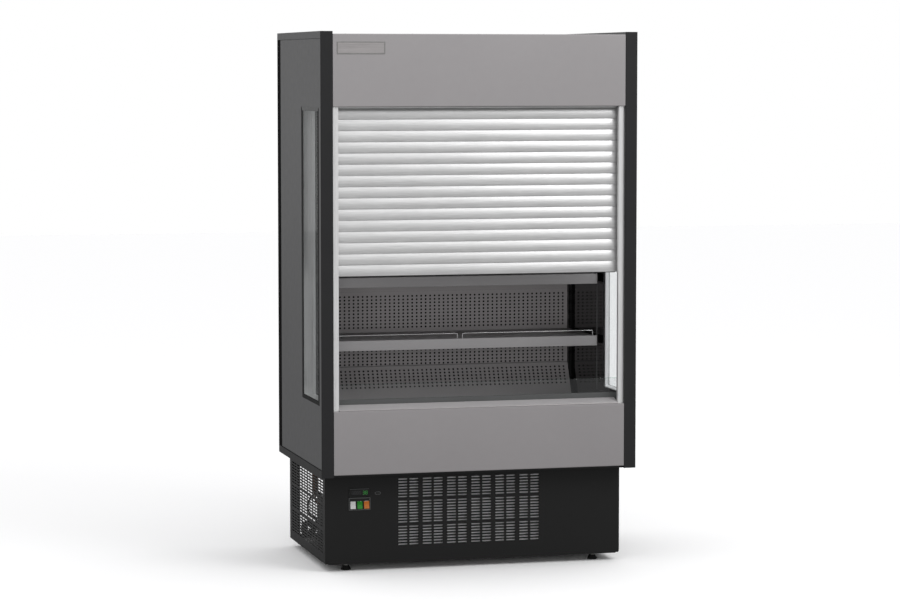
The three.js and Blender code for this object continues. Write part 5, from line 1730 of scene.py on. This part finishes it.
EVAP_FAN = (0.0, back(0.262), 0.476)
ROTORS = {
    "condenser": fan((FAN_X, FAN_Y, FAN_Z), FAN_R, 5, 0.028),
    "evaporator": fan(EVAP_FAN, 0.060, 5, 0.018, 0.0016),
}
for label, rotor in ROTORS.items():
    piece(f"{label}_rotor", rotor, PLASTIC, body=f"{label}_fan",
          stands_for=[f"{label}_fan"], sharp=50)
print("fans with 5 blades each")

# %% [markdown]
# The evaporator lies flat under the deck, with its fan plate in front.
# It is made from the same fins, tubes and bends as the condenser, so only
# the measures differ.

# %% Evaporator
E_X, E_Y0, E_Y1, E_Z0, E_Z1 = 0.470, back(0.330), back(0.560), 0.412, 0.545
fins = fin_pack(-E_X + 0.004, E_X - 0.004, E_Y0, E_Y1, E_Z0 + 0.006, E_Z1, 0.0050)
sides = [block(*sorted((s * E_X, s * (E_X - 0.002))), back(0.2635), E_Y1, 0.4065, E_Z1) for s in (-1, 1)]
piece("evaporator_fins", together(fins, *sides), FINS, stands_for=["evaporator_coil"])
ys = E_Y0 + 0.022 + 0.031 * np.arange(7)
zs = E_Z0 + np.array([0.030, 0.068, 0.106])
tubes = coil_tubes(-E_X - 0.002, E_X + 0.002, ys, zs)
bends = [return_bend(s * (E_X + 0.002), s, y, zs[k], zs[k + 1]) for y in ys for s, k in ((-1, 0), (1, 1))]
piece("evaporator_tubes", together(*tubes, *bends), COPPER)
ex, ey, ez = EVAP_FAN
bore = plate_with_bore(-E_X, E_X, 0.4066, E_Z1, (ex, ez), 0.0628, ey - 0.001, ey + 0.001)
piece("evaporator_fan_plate", bore, STEEL, slot="fin_aluminium")
motor = [(0.0, 0.018), (0.018, 0.018), (0.021, 0.022), (0.021, 0.044), (0.016, 0.049), (0.0, 0.0495)]
motor = turned(motor, EVAP_FAN, "Y", 32)
shaft = rod(0.003, 0.0092, 0.018, EVAP_FAN, "Y", 16)
arms = []
for s in (-1, 1):
    line = np.array([(s * 0.019, 0.030, 0.0), (s * 0.080, 0.030, 0.0), (s * 0.080, 0.0012, 0.0)])
    arms.append(tube(rounded(line + EVAP_FAN, 0.008, 5), 0.0025, 10))
piece("evaporator_motor", together(motor, shaft, *arms), LACQUER)
print("evaporator:", len(tubes), "tubes")

# %% [markdown]
# The compressor is a welded steel can with a seam round its waist. It stands
# on a stamped foot with rubber grommets; its terminals are under a cover.
# A cylinder with bevelled ends could stand for it, but the turned profile
# has the seam and the domed top in one go.

# %% Compressor
K_X, K_Y, K_Z = -0.110, back(0.520), TRAY
can = [(0.0, 0.015), (0.058, 0.015), (0.074, 0.019), (0.085, 0.027), (0.0905, 0.040), (0.092, 0.056),
       (0.092, 0.096), (0.0955, 0.0985), (0.0962, 0.1010), (0.0962, 0.1055), (0.0950, 0.1080),
       (0.092, 0.110), (0.092, 0.160), (0.0890, 0.177), (0.0800, 0.192), (0.064, 0.204),
       (0.040, 0.2115), (0.015, 0.2145), (0.0, 0.215)]
body = turned(can, (K_X, K_Y, K_Z), sides=64)
foot = [(-0.104, -0.062), (-0.085, -0.073), (0.085, -0.073), (0.104, -0.062),
        (0.104, 0.062), (0.085, 0.073), (-0.085, 0.073), (-0.104, 0.062)]
foot = rounded(np.array(foot) + (K_X, K_Y), 0.008, 4, closed=True)
foot = prism(foot, K_Z + 0.008, K_Z + 0.0115, "Z")
piece("compressor_can", together(body, foot), LACQUER, slot="compressor_black",
      stands_for=["compressor"], sharp=50)
rubber = [(0.0, 0.0), (0.011, 0.0), (0.0112, 0.002), (0.0092, 0.004), (0.0092, 0.0078), (0.0, 0.0078)]
grommets = [turned(rubber, (K_X + a * 0.090, K_Y + b * 0.055, K_Z), sides=24)
            for a in (-1, 1) for b in (-1, 1)]
piece("compressor_grommets", together(*grommets), RUBBER)
cover = round_box(K_X + 0.078, K_X + 0.117, K_Y - 0.031, K_Y + 0.031, 0.006)
cover = prism(cover, K_Z + 0.071, K_Z + 0.137, "Z")
piece("compressor_cover", cover, PLASTIC, edge=0.0016)
print("compressor on", len(grommets), "grommets")

# %% [markdown]
# The spare length of the fan's cable is wound up beside the box. The pipes
# and the cable's free end follow a smooth curve: between p1 and p2 the point is
#
#     ((2 p1) + (p2 - p0) t + (2 p0 - 5 p1 + 4 p2 - p3) t^2
#      + (3 p1 - p0 - 3 p2 + p3) t^3) / 2
#
# Straight legs with round corners would look like plumbing. Thin copper is
# bent by hand, and a smooth curve looks like it.

# %% Pipes and electrical box
def smooth_path(points, steps=8):
    """The smooth curve through the points, steps from each one to the next."""
    p = np.array([points[0], *points, points[-1]], float)
    made = []
    for i in range(len(points) - 1):
        p0, p1, p2, p3 = p[i:i + 4]
        for t in np.arange(steps) / steps:
            cubic = (3 * p1 - p0 - 3 * p2 + p3) * t ** 3
            made.append((2 * p1 + (p2 - p0) * t + (2 * p0 - 5 * p1 + 4 * p2 - p3) * t ** 2 + cubic) / 2)
    return np.array([*made, points[-1]])


DRIER = (-0.490, back(0.640), 0.0)
line = np.array([(-0.490, 0.640, 0.214), (-0.490, 0.638, 0.196), (-0.489, 0.610, 0.188),
                 (-0.484, 0.540, 0.192), (-0.440, 0.500, 0.214), (-0.360, 0.400, 0.205),
                 (-0.332, 0.300, 0.200), (-0.328, 0.200, 0.214), (-0.3186, 0.143, 0.218)])
line = smooth_path(line - (0.0, HALF_DEPTH, 0.0))
rise = smooth_path([
    (*DRIER[:2], 0.296), (*DRIER[:2], 0.325), (-0.470, back(0.634), 0.350),
    (-0.330, K_Y + 0.030, 0.340), (-0.214, K_Y + 0.010, 0.270), (-0.2054, K_Y, 0.204),
])
drier = turned([(0.0, 0.210), (0.0046, 0.210), (0.0050, 0.216), (0.0090, 0.223), (0.0095, 0.226),
                (0.0095, 0.290), (0.0090, 0.293), (0.0050, 0.299), (0.0046, 0.305), (0.0, 0.305)],
               DRIER, sides=28)
pipes = together(tube(line, 0.0039, 14), tube(rise, 0.0039, 14), drier)
piece("copper_lines", pipes, COPPER, stands_for=["refrigerant_pipes"], sharp=50)

turning = np.linspace(0, 8 * math.pi, 97)
reach = 0.007 + 0.024 * turning / turning[-1]
coil = np.column_stack([reach * np.cos(turning) - 0.512, reach * np.sin(turning) + 0.080])
lead = smooth_path([
    (-0.481, 0.080), (-0.479, 0.100), (-0.486, 0.117), (-0.502, 0.125), (-0.512, 0.143),
    (-0.514, 0.167), (-0.508, 0.187), (-0.494, 0.206), (-0.478, 0.214), (-0.465, 0.212),
    (-0.463, 0.2065),
])
CABLE_Y = 0.262
spare = tube(at_depth(np.vstack([coil[:-1], lead]), CABLE_Y), 0.0036, 10)
piece("spare_cable", spare, RUBBER, sharp=50)

eased("electrical_box", BLACK, edge=0.0012)
gland = [(0.0, 0.0), (0.010, 0.0), (0.010, 0.006), (0.0075, 0.010), (0.0075, 0.016), (0.0, 0.016)]
glands = [turned(gland, (x, back(0.7002), 0.07), "Y", 24) for x in (-0.44, -0.40, -0.36)]
piece("box_glands", together(*glands), PLASTIC)
lid_screws = [screw_head((x, y, 0.2060), "Z+")
              for x in (-0.466, -0.334) for y in (back(0.564), back(0.696))]
piece("box_screws", together(*lid_screws), STEEL)
print("pipes and electrical box")
